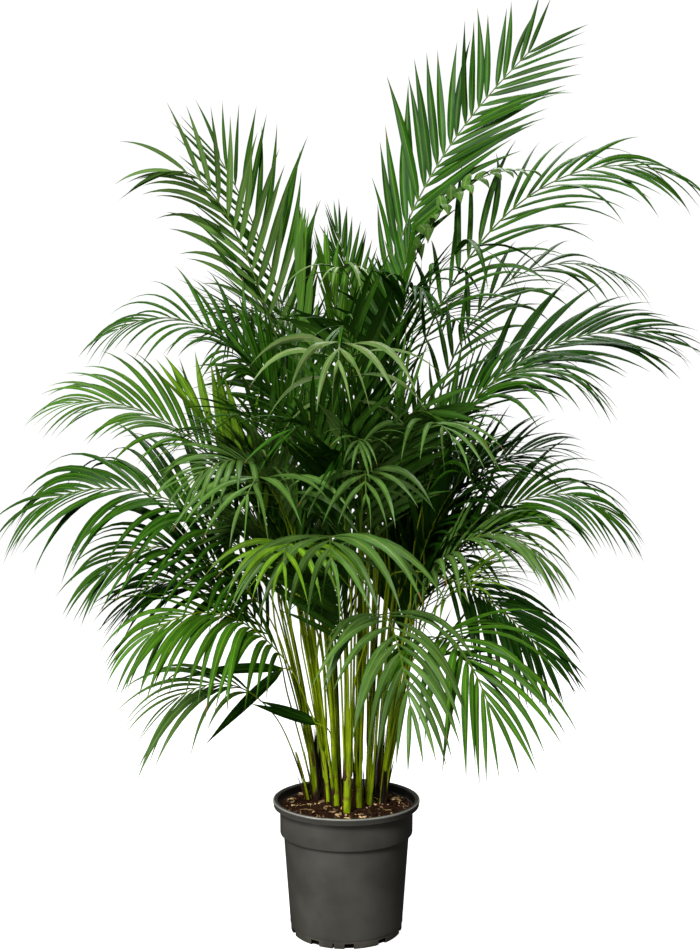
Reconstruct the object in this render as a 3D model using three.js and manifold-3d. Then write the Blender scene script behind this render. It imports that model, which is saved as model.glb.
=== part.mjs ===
// A clumping feather palm growing in a 24 cm nursery pot.
// Millimetres, +Z up. The origin is the centre of the pot's underside and -Y is the front.
import * as THREE from "three";
import { mergeVertices } from "three/addons/utils/BufferGeometryUtils.js";
import Module from "manifold-3d";

const wasm = await Module();
wasm.setup();

// Pot: a thin tapered wall with a stepped collar and a thick lip.
const POT_HEIGHT = 212;
const FOOT_RADIUS = 90.5;
const SHOULDER_RADIUS = 102.5;
const SHOULDER_HEIGHT = 155.5;
const COLLAR_RADIUS = 108.3;
const COLLAR_HEIGHT = 158.5;
const LIP_RADIUS = 120;
const LIP_DEPTH = 12;
const LIP_THICKNESS = 6.5;
const WALL = 1.5;
const FLOOR = 2.2;
const LEDGE_HEIGHT = 13;
const POT_SIDES = 32;

// Drainage notches round the bottom corner, one every 36 degrees, and one narrow slit.
const NOTCH_COUNT = 10;
const NOTCH_TURN = 3;
const NOTCH_WIDTH = 15;
const NOTCH_HEIGHT = 9;
const SLIT_TURN = -13;
const SLIT_WIDTH = 2.5;

// Potting mix: a plug with a slightly raised middle.
const SOIL_EDGE_RADIUS = 107.4;
const SOIL_EDGE_HEIGHT = 199;
const SOIL_CROWN_HEIGHT = 203;
const SOIL_CROWN_RADIUS = 62;
const ROOTED_DEPTH = 30;

// Clearance between touching pieces, and how far a frond's surface may move to lose its slivers.
const GAP = 0.35;
const SMOOTHING = 0.01;

// Stems and leaves.
const CANE_SIDES = 6;
const CANE_RINGS = 6;
const RACHIS_SIDES = 4;
const PETIOLE_RADIUS = 3.2;
const RACHIS_TIP_RADIUS = 1.1;
const PETIOLE_STATIONS = 3;
const PAIR_STEP = 5;
const FEWEST_PAIRS = 3;
const LEAF_STEPS = 8;
const LEAF_RINGS = [0, 3, 6, 8];
const LEAF_KEEL = 1.0;
const LEAF_TAIL = 1.5;
const SHORTER = [1, 0.8, 0.62, 0.45];

// Each cane: its number, foot (x, y), top (x, y, z), radius at the foot and at the top.
const CANES = [
  [1, [-60, 14], [-84, 11, 285], 4.2, 3.2],
  [2, [-48, 30], [-110, 30, 560], 7.5, 4.5],
  [3, [-28, 6], [-85, -20, 620], 5.0, 4.0],
  [4, [-16, -12], [-40, -50, 560], 7.0, 4.5],
  [5, [2, -48], [-2, -75, 600], 8.0, 5.0],
  [6, [20, -24], [25, -45, 700], 6.5, 4.5],
  [7, [36, -4], [62, 0, 780], 6.5, 4.5],
  [8, [50, 28], [95, 60, 660], 5.0, 4.0],
  [9, [58, 4], [105, -20, 540], 6.0, 4.0],
  [10, [62, 58], [115, 120, 560], 4.5, 3.5],
  [11, [-12, 44], [-65, 80, 860], 7.0, 4.5],
  [12, [18, 50], [38, 75, 900], 7.0, 4.5],
  [13, [-40, 62], [-70, 170, 600], 5.5, 4.0],
];

// Each frond: its name, the cane that carries it and the height where its petiole leaves that
// cane, then the three points that bend its rachis, the last one being the tip.
// bare is the share of the rachis without leaflets, pairs their number, leaf the longest one,
// spread their angle to the rachis at the base and at the tip, roll and vee how the blade turns
// and folds, droop how far the leaflets sag, and wide their breadth over their length.
const FRONDS = [
  ["tall_right", 12, 860, [48, 62, 1120], [140, 50, 1285], [305, 45, 1450],
    { bare: 0.33, pairs: 22, leaf: 205, roll: -76, vee: 12, droop: 0.25, spread: [30, 44], wide: 0.06 }],
  ["left_fan_front", 11, 820, [-118, 60, 935], [-185, 20, 1262], [-285, 0, 1240],
    { bare: 0.34, pairs: 14, leaf: 198, roll: -58, vee: 36, droop: 0.9, spread: [42, 34], wide: 0.052 }],
  ["left_fan_back", 11, 750, [-70, 125, 950], [-150, 110, 1180], [-220, 110, 1290],
    { bare: 0.36, pairs: 14, leaf: 208, roll: 65, vee: 36, droop: 0.1, spread: [42, 34], wide: 0.05 }],
  ["long_right", 7, 680, [105, 20, 1050], [290, 10, 1305], [520, 0, 1240],
    { bare: 0.36, pairs: 20, leaf: 205, roll: -48, vee: 4, droop: 1.4, spread: [36, 26], wide: 0.06 }],
  ["curled_young", 12, 800, [80, 15, 1060], [140, -5, 1260], [300, -20, 1235],
    { bare: 0.4, pairs: 15, leaf: 58, roll: -30, vee: 30, droop: 3, spread: [70, 45], wide: 0.36 }],
  ["spear", 11, 850, [-70, 60, 950], [-85, 40, 1040], [-85, 40, 1120],
    { bare: 0.3, pairs: 9, leaf: 150, roll: 60, vee: 50, droop: 0.05, spread: [22, 12], wide: 0.12 }],
  ["centre_up", 6, 680, [15, -60, 850], [-5, -60, 960], [-30, -70, 1060],
    { bare: 0.3, pairs: 14, leaf: 150, roll: 80, vee: 30, droop: 0.1, spread: [30, 15], wide: 0.1 }],
  ["centre_up_right", 7, 772, [60, -35, 900], [80, -30, 1000], [100, -30, 1110],
    { bare: 0.3, pairs: 16, leaf: 110, roll: -80, vee: 30, droop: 0.3, spread: [45, 30], wide: 0.16 }],
  ["right_two", 9, 525, [130, 45, 1030], [280, 70, 1150], [460, 70, 1085],
    { bare: 0.42, pairs: 17, leaf: 160, roll: -40, vee: 0, droop: 1.5, spread: [34, 22] }],
  ["right_three", 8, 560, [115, 0, 840], [290, -40, 995], [490, -40, 970],
    { bare: 0.42, pairs: 21, leaf: 205, roll: -48, vee: 5, droop: 0.9, spread: [32, 22], wide: 0.06 }],
  ["right_four", 9, 460, [105, -80, 800], [215, -100, 960], [360, -95, 892],
    { bare: 0.42, pairs: 18, leaf: 190, roll: -35, vee: 8, droop: 1.8, spread: [36, 24] }],
  ["right_five", 9, 425, [150, 5, 620], [280, -60, 775], [410, -70, 685],
    { bare: 0.36, pairs: 21, leaf: 195, roll: -35, vee: 10, droop: 1.8, spread: [38, 24] }],
  ["right_six", 9, 385, [105, -95, 590], [190, -150, 710], [285, -165, 625],
    { bare: 0.4, pairs: 18, leaf: 185, roll: -25, vee: 14, droop: 1.7, spread: [50, 30] }],
  ["right_seven", 7, 580, [118, -30, 600], [215, -110, 580], [300, -140, 470],
    { bare: 0.4, pairs: 20, leaf: 170, roll: -35, vee: 8, droop: 1.6, spread: [46, 26] }],
  ["right_eight", 9, 335, [135, 15, 450], [160, -40, 480], [205, -60, 440],
    { bare: 0.5, pairs: 6, leaf: 170, roll: -30, vee: 15, droop: 0.25, spread: [40, 15] }],
  ["front_top", 5, 560, [0, -90, 890], [-8, -220, 990], [-10, -300, 900],
    { bare: 0.6, pairs: 7, leaf: 175, roll: 0, vee: 5, droop: 2.2, spread: [80, 25], wide: 0.075 }],
  ["front_middle", 6, 500, [22, -60, 715], [28, -190, 800], [28, -280, 716],
    { bare: 0.6, pairs: 7, leaf: 140, roll: 0, vee: 5, droop: 2, spread: [80, 25], wide: 0.075 }],
  ["front_low", 4, 440, [-25, -80, 615], [-25, -210, 700], [-20, -330, 630],
    { bare: 0.5, pairs: 8, leaf: 212, roll: 0, vee: 8, droop: 2.2, spread: [78, 25], wide: 0.07 }],
  ["front_bright", 3, 440, [-65, -70, 600], [-78, -220, 690], [-84, -340, 625],
    { bare: 0.5, pairs: 7, leaf: 150, roll: 0, vee: 5, droop: 2.1, spread: [78, 25], wide: 0.072 }],
  ["front_right", 6, 400, [45, -120, 560], [60, -260, 590], [85, -370, 440],
    { bare: 0.42, pairs: 13, leaf: 188, roll: 0, vee: 15, droop: 2.2, spread: [62, 26], wide: 0.07 }],
  ["front_right_two", 9, 360, [110, -120, 500], [150, -220, 560], [195, -290, 430],
    { bare: 0.4, pairs: 14, leaf: 220, roll: -10, vee: 15, droop: 1.7, spread: [56, 28] }],
  ["front_left", 3, 560, [-90, -70, 740], [-150, -160, 800], [-215, -220, 740],
    { bare: 0.42, pairs: 14, leaf: 180, roll: 20, vee: 20, droop: 1.4, spread: [55, 30] }],
  ["left_one", 11, 650, [-110, 30, 930], [-240, 10, 1050], [-370, -10, 980],
    { bare: 0.38, pairs: 19, leaf: 165, roll: 38, vee: 22, droop: 1.7, spread: [46, 28] }],
  ["left_bright", 2, 545, [-125, -45, 700], [-190, -60, 800], [-250, -70, 860],
    { bare: 0.36, pairs: 9, leaf: 165, roll: 60, vee: 30, droop: 0.15, spread: [34, 24], wide: 0.11 }],
  ["left_two", 2, 485, [-125, 75, 700], [-270, 0, 880], [-435, -40, 858],
    { bare: 0.36, pairs: 22, leaf: 185, roll: 38, vee: 24, droop: 1.4, spread: [44, 26] }],
  ["left_three", 2, 450, [-125, -25, 630], [-300, -50, 775], [-475, -55, 700],
    { bare: 0.34, pairs: 23, leaf: 230, roll: 38, vee: 20, droop: 1.8, spread: [50, 30] }],
  ["left_four", 2, 400, [-120, -40, 560], [-270, -90, 700], [-375, -100, 590],
    { bare: 0.36, pairs: 21, leaf: 190, roll: 38, vee: 22, droop: 1.7, spread: [48, 28] }],
  ["left_five", 2, 360, [-120, -20, 520], [-240, -40, 620], [-335, -50, 550],
    { bare: 0.36, pairs: 18, leaf: 180, roll: 38, vee: 20, droop: 1.4, spread: [48, 28] }],
  ["left_six", 3, 340, [-110, -60, 500], [-200, -130, 575], [-290, -160, 505],
    { bare: 0.38, pairs: 20, leaf: 215, roll: 30, vee: 12, droop: 1.9, spread: [52, 28] }],
  ["left_seven", 1, 276, [-115, -35, 380], [-180, -50, 440], [-262, -65, 392],
    { bare: 0.55, pairs: 9, leaf: 215, roll: 20, vee: 5, droop: 1.8, spread: [45, 25], wide: 0.06 }],
  ["young_pair", 2, 332, [-90, 14, 372], [-80, 5, 438], [-110, 1, 421],
    { bare: 0.96, pairs: 1, leaf: 255, roll: 90, vee: 5, droop: 0.2, spread: [24, 24], wide: 0.115 }],
  ["young_leaf", 4, 322, [-30, -25, 332], [-40, -26, 337], [-50, -28, 341],
    { bare: 0.8, pairs: 1, leaf: 160, roll: 90, vee: 0, droop: 0.1, spread: [6, 6], wide: 0.14 }],
  ["centre_back", 12, 860, [20, 70, 980], [5, 60, 1080], [-15, 55, 1150],
    { bare: 0.3, pairs: 14, leaf: 120, roll: 70, vee: 20, droop: 0.1, spread: [35, 20], wide: 0.085 }],
  ["arching_pair", 12, 840, [40, 20, 960], [15, -60, 1065], [-10, -110, 1062],
    { bare: 0.9, pairs: 3, leaf: 150, roll: 0, vee: 5, droop: 2.2, spread: [50, 20], wide: 0.075 }],
  ["right_inner", 8, 500, [120, 20, 640], [200, 0, 770], [315, -10, 785],
    { bare: 0.3, pairs: 18, leaf: 175, roll: -35, vee: 18, droop: 1.1, spread: [46, 28] }],
  ["front_left_low", 3, 500, [-90, -90, 680], [-115, -210, 790], [-135, -300, 715],
    { bare: 0.55, pairs: 7, leaf: 190, roll: 0, vee: 8, droop: 1.8, spread: [75, 25] }],
  ["right_low", 9, 420, [125, -60, 520], [150, -110, 560], [200, -140, 580],
    { bare: 0.55, pairs: 7, leaf: 150, roll: -30, vee: 10, droop: 0.8, spread: [60, 15] }],
  ["front_right_high", 7, 560, [70, -60, 780], [115, -150, 860], [150, -230, 800],
    { bare: 0.5, pairs: 8, leaf: 165, roll: 0, vee: 8, droop: 1.8, spread: [75, 28], wide: 0.06 }],
  ["back_left_high", 11, 710, [-95, 165, 960], [-170, 280, 1100], [-240, 400, 1010],
    { bare: 0.36, pairs: 22, leaf: 170, roll: 0, vee: 28, droop: 0.8, spread: [62, 45] }],
  ["back_right_high", 12, 730, [65, 165, 980], [150, 290, 1120], [240, 420, 1030],
    { bare: 0.36, pairs: 22, leaf: 170, roll: 0, vee: 28, droop: 0.8, spread: [62, 45] }],
  ["back_left", 13, 515, [-120, 215, 735], [-150, 340, 860], [-200, 460, 760],
    { bare: 0.36, pairs: 22, leaf: 170, roll: 0, vee: 28, droop: 0.8, spread: [62, 45] }],
  ["back_right", 10, 520, [130, 190, 720], [200, 320, 850], [270, 440, 740],
    { bare: 0.36, pairs: 22, leaf: 170, roll: 0, vee: 28, droop: 0.8, spread: [62, 45] }],
  ["back_low_left", 13, 400, [-80, 160, 540], [-140, 270, 620], [-210, 370, 500],
    { bare: 0.38, pairs: 20, leaf: 165, roll: 0, vee: 25, droop: 0.8, spread: [62, 45] }],
  ["back_low_right", 10, 360, [110, 150, 520], [190, 260, 620], [280, 340, 500],
    { bare: 0.38, pairs: 20, leaf: 165, roll: 0, vee: 25, droop: 0.8, spread: [62, 45] }],
  ["back_middle", 13, 580, [-50, 240, 800], [-20, 360, 920], [10, 470, 830],
    { bare: 0.36, pairs: 22, leaf: 170, roll: 0, vee: 28, droop: 0.8, spread: [62, 45] }],
];
const USUAL_WIDTH = 0.061;

// A leaflet's length along the blade, as a share of the longest one.
const BASE_SHARE = 0.68;
const TIP_SHARE = 0.5;
const LONGEST_AT = 0.3;

const UP = new THREE.Vector3(0, 0, 1);
const ACROSS = new THREE.Vector3(1, 0, 0);

const plastic = new THREE.MeshStandardMaterial({ color: 0x3a3b38, roughness: 0.5, metalness: 0 });
const earth = new THREE.MeshStandardMaterial({ color: 0x2c1d14, roughness: 0.95, metalness: 0 });
const caneSkin = new THREE.MeshStandardMaterial({ color: 0x7d8f2a, roughness: 0.5, metalness: 0 });
const leafGreen = new THREE.MeshStandardMaterial({ color: 0x2d5a18, roughness: 0.45, metalness: 0 });
const youngGreen = new THREE.MeshStandardMaterial({ color: 0x5f9a1c, roughness: 0.45, metalness: 0 });
const YOUNG = ["spear", "centre_up", "front_bright", "left_bright", "curled_young", "right_low"];

// Turns a closed geometry into a solid; triangles that collapsed onto a pole are left out.
function toSolid(geometry) {
  geometry.deleteAttribute("normal");
  geometry.deleteAttribute("uv");
  const merged = mergeVertices(geometry, 1e-4);
  const index = merged.index.array;
  const triVerts = [];
  for (let i = 0; i < index.length; i += 3) {
    const [a, b, c] = index.slice(i, i + 3);
    if (a !== b && b !== c && c !== a) triVerts.push(a, b, c);
  }
  const vertProperties = merged.attributes.position.array;
  return new wasm.Manifold(
    new wasm.Mesh({ numProp: 3, vertProperties, triVerts: new Uint32Array(triVerts) }),
  );
}

// A named mesh of a solid.
function toMesh(name, solid, material) {
  const { vertProperties, triVerts, numProp } = solid.getMesh();
  const geometry = new THREE.BufferGeometry();
  geometry.setAttribute("position", new THREE.BufferAttribute(vertProperties, numProp));
  geometry.setIndex(new THREE.BufferAttribute(triVerts, 1));
  const mesh = new THREE.Mesh(geometry, material);
  mesh.name = name;
  return mesh;
}

// A lathe shape about the Z axis from [radius, height] points.
function turned(points, sides) {
  const profile = points.map(([radius, height]) => new THREE.Vector2(radius, height));
  const geometry = new THREE.LatheGeometry(profile, sides);
  geometry.rotateX(Math.PI / 2);
  return geometry;
}

// The largest body of a solid that a cut may have split.
function largestBody(solid) {
  return solid.decompose().reduce((a, b) => (a.volume() > b.volume() ? a : b));
}

// A box that cuts through the pot's bottom corner, turned from the front by an angle.
function cornerCut(turn, width, height) {
  const angle = THREE.MathUtils.degToRad(turn - 90);
  const box = new THREE.BoxGeometry(12, width, height + 1);
  box.translate(FOOT_RADIUS, 0, (height - 1) / 2);
  box.rotateZ(angle);
  return toSolid(box);
}

// Inner radius of the pot's wall below the collar.
function innerRadius(height) {
  const share = height / SHOULDER_HEIGHT;
  return FOOT_RADIUS + (SHOULDER_RADIUS - FOOT_RADIUS) * share - WALL;
}

function makePot() {
  const lipFoot = POT_HEIGHT - LIP_DEPTH;
  const profile = [
    [0, 0],
    [FOOT_RADIUS - 1.5, 0],
    [FOOT_RADIUS, 1.5],
    [FOOT_RADIUS + 0.4, LEDGE_HEIGHT],
    [FOOT_RADIUS + 1.3, LEDGE_HEIGHT + 0.8],
    [SHOULDER_RADIUS, SHOULDER_HEIGHT],
    [COLLAR_RADIUS, COLLAR_HEIGHT],
    [COLLAR_RADIUS + 0.6, lipFoot],
    [LIP_RADIUS - 2, lipFoot + 3],
    [LIP_RADIUS, lipFoot + 7],
    [LIP_RADIUS, POT_HEIGHT - 1.5],
    [LIP_RADIUS - 1.5, POT_HEIGHT],
    [LIP_RADIUS - LIP_THICKNESS, POT_HEIGHT],
    [LIP_RADIUS - LIP_THICKNESS - 1.5, POT_HEIGHT - 3],
    [COLLAR_RADIUS + 1.2, lipFoot + 2],
    [COLLAR_RADIUS - WALL, lipFoot - 4],
    [COLLAR_RADIUS - WALL, COLLAR_HEIGHT],
    [innerRadius(SHOULDER_HEIGHT), SHOULDER_HEIGHT],
    [innerRadius(FLOOR), FLOOR],
    [0, FLOOR],
  ];
  let pot = toSolid(turned(profile, POT_SIDES));
  for (let i = 0; i < NOTCH_COUNT; i++) {
    pot = pot.subtract(cornerCut(NOTCH_TURN + (i * 360) / NOTCH_COUNT, NOTCH_WIDTH, NOTCH_HEIGHT));
  }
  return pot.subtract(cornerCut(SLIT_TURN, SLIT_WIDTH, NOTCH_HEIGHT));
}

// The soil plug, with a socket for each cane's rooted end.
function makeSoil(caneRoots) {
  const floor = FLOOR + GAP;
  const profile = [
    [0, floor],
    [innerRadius(floor) - 2 * GAP, floor],
    [innerRadius(SHOULDER_HEIGHT) - 2 * GAP, SHOULDER_HEIGHT],
    [COLLAR_RADIUS - WALL - 2 * GAP, COLLAR_HEIGHT + 0.5],
    [COLLAR_RADIUS - WALL - 2 * GAP, POT_HEIGHT - LIP_DEPTH - 4],
    [SOIL_EDGE_RADIUS, SOIL_EDGE_HEIGHT],
    [SOIL_CROWN_RADIUS, SOIL_CROWN_HEIGHT],
    [0, SOIL_CROWN_HEIGHT],
  ];
  const soil = toSolid(turned(profile, POT_SIDES));
  return caneRoots.reduce((whole, root) => whole.subtract(root), soil);
}

// A closed tube along stations of a curve, from a capped cylinder whose rings are moved there.
// side gives the tube's sideways direction at a tangent; radius depends on the station.
function taperedTube(curve, stations, radius, sides, side) {
  const spans = stations.length - 1;
  const shape = new THREE.CylinderGeometry(1, 1, 1, sides, spans);
  const corner = shape.attributes.position;
  for (let i = 0; i < corner.count; i++) {
    const ring = Math.round((0.5 + corner.getY(i)) * spans);
    const tangent = curve.getTangentAt(stations[ring]);
    const across = side(tangent);
    const depth = across.clone().cross(tangent);
    const place = curve.getPointAt(stations[ring]);
    place.addScaledVector(across, corner.getX(i) * radius(stations[ring]));
    place.addScaledVector(depth, corner.getZ(i) * radius(stations[ring]));
    corner.setXYZ(i, ...place);
  }
  return toSolid(shape);
}

// The part of a vector square to a direction, at length one.
function squareTo(vector, direction) {
  return vector.clone().addScaledVector(direction, -vector.dot(direction)).normalize();
}

// A cane leaves the soil nearly upright and leans outwards higher up.
function caneCurve([, foot, top]) {
  const start = new THREE.Vector3(foot[0], foot[1], SOIL_CROWN_HEIGHT - ROOTED_DEPTH);
  const end = new THREE.Vector3(...top);
  const rise = end.clone().sub(start);
  const low = start.clone().add(new THREE.Vector3(rise.x * 0.1, rise.y * 0.1, rise.z * 0.35));
  const high = start.clone().add(new THREE.Vector3(rise.x * 0.55, rise.y * 0.55, rise.z * 0.7));
  return new THREE.CubicBezierCurve3(start, low, high, end);
}

// A cane, or with a clearance the room that it needs in its neighbours.
function makeCane(row, clearance) {
  const [, , , footRadius, topRadius] = row;
  const stations = Array.from({ length: CANE_RINGS }, (_, i) => i / (CANE_RINGS - 1));
  const radius = (u) => THREE.MathUtils.lerp(footRadius, topRadius, u) + clearance;
  const side = (tangent) => squareTo(ACROSS, tangent);
  return taperedTube(caneCurve(row), stations, radius, CANE_SIDES, side);
}

// The point of a rising curve at a height, found by halving.
function pointAtHeight(curve, height) {
  let low = 0;
  let high = 1;
  for (let i = 0; i < 30; i++) {
    const middle = (low + high) / 2;
    if (curve.getPoint(middle).z < height) low = middle;
    else high = middle;
  }
  return curve.getPoint(low);
}

// The rachis curve of a frond and the sideways direction of its blade, which turns by its roll.
function frondFrame([, cane, height, bend, arch, tip, blade]) {
  const start = pointAtHeight(caneCurve(CANES[cane - 1]), height);
  const points = [bend, arch, tip].map((point) => new THREE.Vector3(...point));
  const curve = new THREE.CubicBezierCurve3(start, ...points);
  const outward = points[2].clone().sub(start).setZ(0).normalize();
  const level = outward.cross(UP);
  const roll = THREE.MathUtils.degToRad(blade.roll);
  const side = (tangent) => squareTo(level, tangent).applyAxisAngle(tangent, roll);
  return { curve, side };
}

// Where along the rachis the leaflet pairs stand, and their place k from base to tip.
function pairPlaces({ bare, pairs }) {
  const made = Math.min(pairs, Math.max(FEWEST_PAIRS, Math.round(pairs / PAIR_STEP)));
  return Array.from({ length: made }, (_, i) => {
    const k = made === 1 ? 0 : i / (made - 1);
    return { k, u: bare + (1 - bare) * k ** 0.93 };
  });
}

function lengthShare(k) {
  if (k < LONGEST_AT) return 1 - (1 - BASE_SHARE) * (1 - k / LONGEST_AT) ** 2;
  return 1 - (1 - TIP_SHARE) * ((k - LONGEST_AT) / (1 - LONGEST_AT)) ** 1.6;
}

// Breadth of a leaflet at a share s of its length: narrow at the base, a long fine tip.
function breadthShare(s) {
  return (0.2 + 0.8 * Math.sin(Math.PI * s ** 0.72) ** 0.75) * (1 - s ** 4);
}

// A leaflet: a three-sided spindle with two flat edges and a keel below, bent by its weight.
function makeLeaflet(frame, blade, place, hand, share, clearance) {
  const { k, u } = place;
  const tangent = frame.curve.getTangentAt(u);
  const side = frame.side(tangent);
  const normal = side.clone().cross(tangent);
  const [baseSpread, tipSpread] = blade.spread;
  const spread = THREE.MathUtils.lerp(baseSpread, tipSpread, k) * (1 - 0.55 * k ** 7);
  const angle = THREE.MathUtils.degToRad(spread);
  const fold = THREE.MathUtils.degToRad(blade.vee);
  const outward = side.multiplyScalar(hand * Math.cos(fold)).addScaledVector(normal, Math.sin(fold));
  const heading = tangent.clone().multiplyScalar(Math.cos(angle));
  heading.addScaledVector(outward, Math.sin(angle));
  const length = blade.leaf * lengthShare(k) * share;
  const edge = squareTo(tangent, heading).multiplyScalar(hand);

  const droop = blade.droop * Math.hypot(heading.x, heading.y);

  const centre = [frame.curve.getPointAt(u).addScaledVector(heading, -LEAF_TAIL)];
  const course = [];
  const acrossAt = [edge];
  for (let i = 0; i < LEAF_STEPS; i++) {
    const sag = droop * ((i + 0.5) / LEAF_STEPS) ** 1.4;
    course.push(heading.clone().addScaledVector(UP, -sag).normalize());
    centre.push(centre[i].clone().addScaledVector(course[i], length / LEAF_STEPS));
    acrossAt.push(squareTo(acrossAt[i], course[i]));
  }
  const rings = LEAF_RINGS.map((step) => new THREE.Vector2(step % LEAF_STEPS ? 1 : 0, step));
  const shape = new THREE.LatheGeometry(rings, 3);
  const corner = shape.attributes.position;
  const halfWidth = (blade.wide ?? USUAL_WIDTH) * length * 0.5;
  for (let i = 0; i < corner.count; i++) {
    const step = Math.round(corner.getY(i));
    const along = course[Math.min(step, LEAF_STEPS - 1)];
    const across = squareTo(acrossAt[step], along);
    const below = across.clone().cross(along);
    const reach = halfWidth * breadthShare(step / LEAF_STEPS) + clearance;
    const point = centre[step].clone();
    point.addScaledVector(across, (corner.getX(i) / Math.sin(Math.PI / 3)) * reach);
    point.addScaledVector(below, corner.getZ(i) * (LEAF_KEEL + clearance));
    corner.setXYZ(i, ...point);
  }
  return toSolid(shape);
}

// The petiole and rachis of a frond, cut back to the skin of the cane that carries it.
function makeRachis(row, frame, caneRoom, clearance) {
  const blade = row[6];
  const petiole = Array.from({ length: PETIOLE_STATIONS }, (_, i) => (i / PETIOLE_STATIONS) * blade.bare);
  const stations = [...petiole, ...pairPlaces(blade).map(({ u }) => u)];
  if (blade.pairs === 1) stations.splice(-1, 1, 1);
  const radius = (u) => THREE.MathUtils.lerp(PETIOLE_RADIUS, RACHIS_TIP_RADIUS, u) + clearance;
  const tube = taperedTube(frame.curve, stations, radius, RACHIS_SIDES, frame.side);
  return largestBody(tube.subtract(caneRoom));
}

// What stands where: solids with the room they fill, each with the name of its owner.
class Neighbours {
  constructor() {
    this.list = [];
  }

  add(owner, solid) {
    this.list.push({ owner, solid, room: Neighbours.room(solid) });
  }

  static room(solid) {
    const { min, max } = solid.boundingBox();
    return new THREE.Box3(new THREE.Vector3(...min), new THREE.Vector3(...max));
  }

  // Whether a solid reaches into anything of another owner.
  meets(owner, solid) {
    const room = Neighbours.room(solid);
    return this.list.some(
      (other) =>
        other.owner !== owner &&
        other.room.intersectsBox(room) &&
        other.solid.intersect(solid).volume() > 0,
    );
  }
}

// All fronds: first every rachis, then the leaflets, each as long as its neighbours allow.
function makeFronds(neighbours, caneRooms) {
  const started = FRONDS.map((row) => {
    const frame = frondFrame(row);
    const rachis = makeRachis(row, frame, caneRooms[row[1] - 1], 0);
    neighbours.add(row[0], rachis);
    return { row, frame, parts: [rachis] };
  });
  for (const { row, frame, parts } of started) {
    const [name, , , , , , blade] = row;
    for (const place of pairPlaces(blade)) {
      for (const hand of [-1, 1]) {
        const fits = (share) =>
          !neighbours.meets(name, makeLeaflet(frame, blade, place, hand, share, GAP));
        const share = SHORTER.find(fits);
        if (share === undefined) continue;
        const leaflet = makeLeaflet(frame, blade, place, hand, share, 0);
        neighbours.add(name, leaflet);
        parts.push(leaflet);
      }
    }
  }
  return started.map(({ row, parts }) => [
    row[0],
    parts.reduce((whole, part) => whole.add(part)).simplify(SMOOTHING),
  ]);
}

const palm = new THREE.Group();
const neighbours = new Neighbours();

const pot = makePot();
palm.add(toMesh("pot", pot, plastic));
neighbours.add("pot", pot);

const caneRooms = CANES.map((row) => makeCane(row, GAP));
const soil = makeSoil(caneRooms);
palm.add(toMesh("soil", soil, earth));
neighbours.add("soil", soil);

for (const row of CANES) {
  const cane = makeCane(row, 0);
  const name = "cane_" + String(row[0]).padStart(2, "0");
  palm.add(toMesh(name, cane, caneSkin));
  neighbours.add(name, cane);
}

for (const [name, solid] of makeFronds(neighbours, caneRooms)) {
  palm.add(toMesh("frond_" + name, solid, YOUNG.includes(name) ? youngGreen : leafGreen));
}

export default palm;
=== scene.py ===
"""Looks of a clumping feather palm that grows in a dark plastic nursery pot.

Everything is in metres, +Z up, with the origin at the centre of the pot's underside and -Y as the
front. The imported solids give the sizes; each of them is stood for here by a finer piece.
"""

from __future__ import annotations

import logging
import math
from dataclasses import dataclass, field
from enum import Enum
from typing import Any

import bpy
import numpy as np
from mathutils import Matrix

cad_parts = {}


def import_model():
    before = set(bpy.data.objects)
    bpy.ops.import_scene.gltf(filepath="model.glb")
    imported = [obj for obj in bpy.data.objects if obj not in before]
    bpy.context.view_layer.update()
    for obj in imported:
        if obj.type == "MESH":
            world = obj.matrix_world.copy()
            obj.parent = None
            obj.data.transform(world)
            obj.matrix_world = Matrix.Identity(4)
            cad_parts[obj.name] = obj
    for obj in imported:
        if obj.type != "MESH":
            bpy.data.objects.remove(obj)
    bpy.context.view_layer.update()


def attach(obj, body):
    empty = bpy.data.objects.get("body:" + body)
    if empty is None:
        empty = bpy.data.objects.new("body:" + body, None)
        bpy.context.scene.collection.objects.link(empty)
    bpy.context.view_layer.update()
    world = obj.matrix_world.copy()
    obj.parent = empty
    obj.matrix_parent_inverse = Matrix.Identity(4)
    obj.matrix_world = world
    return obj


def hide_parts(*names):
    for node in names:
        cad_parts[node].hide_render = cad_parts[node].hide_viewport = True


LOG = logging.getLogger("palm")

MM = 0.001
UP = np.array([0.0, 0.0, 1.0])
BODY = "root"
SOIL_CROWN = 203 * MM
ROOTED_DEPTH = 30 * MM
LEAF_UV = "leaf"
UV_LENGTH = 0.1  # metres of a stalk or cane in one unit of its UV map

CANE_SEED = 7
CHIP_SEED, FIBRE_SEED, FROND_SEED = 107, 207, 307
INNER_SEED, HUSK_SEED, EXTRA_SEED = 507, 607, 707

Vec = tuple[float, float, float]
Colour = tuple[float, float, float, float]


# ---------------------------------------------------------------------------------------------
# Shader building
# ---------------------------------------------------------------------------------------------


def tint(red: int, green: int, blue: int) -> Colour:
    """Turns a screen colour into a linear one by the sRGB curve.

    Args:
        red: The share of red, 0 to 255.
        green: The share of green.
        blue: The share of blue.

    Returns:
        The linear colour, with an alpha of one.
    """
    share = np.array([red, green, blue]) / 255.0
    linear = np.where(share <= 0.04045, share / 12.92, ((share + 0.055) / 1.055) ** 2.4)
    return (float(linear[0]), float(linear[1]), float(linear[2]), 1.0)


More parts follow.
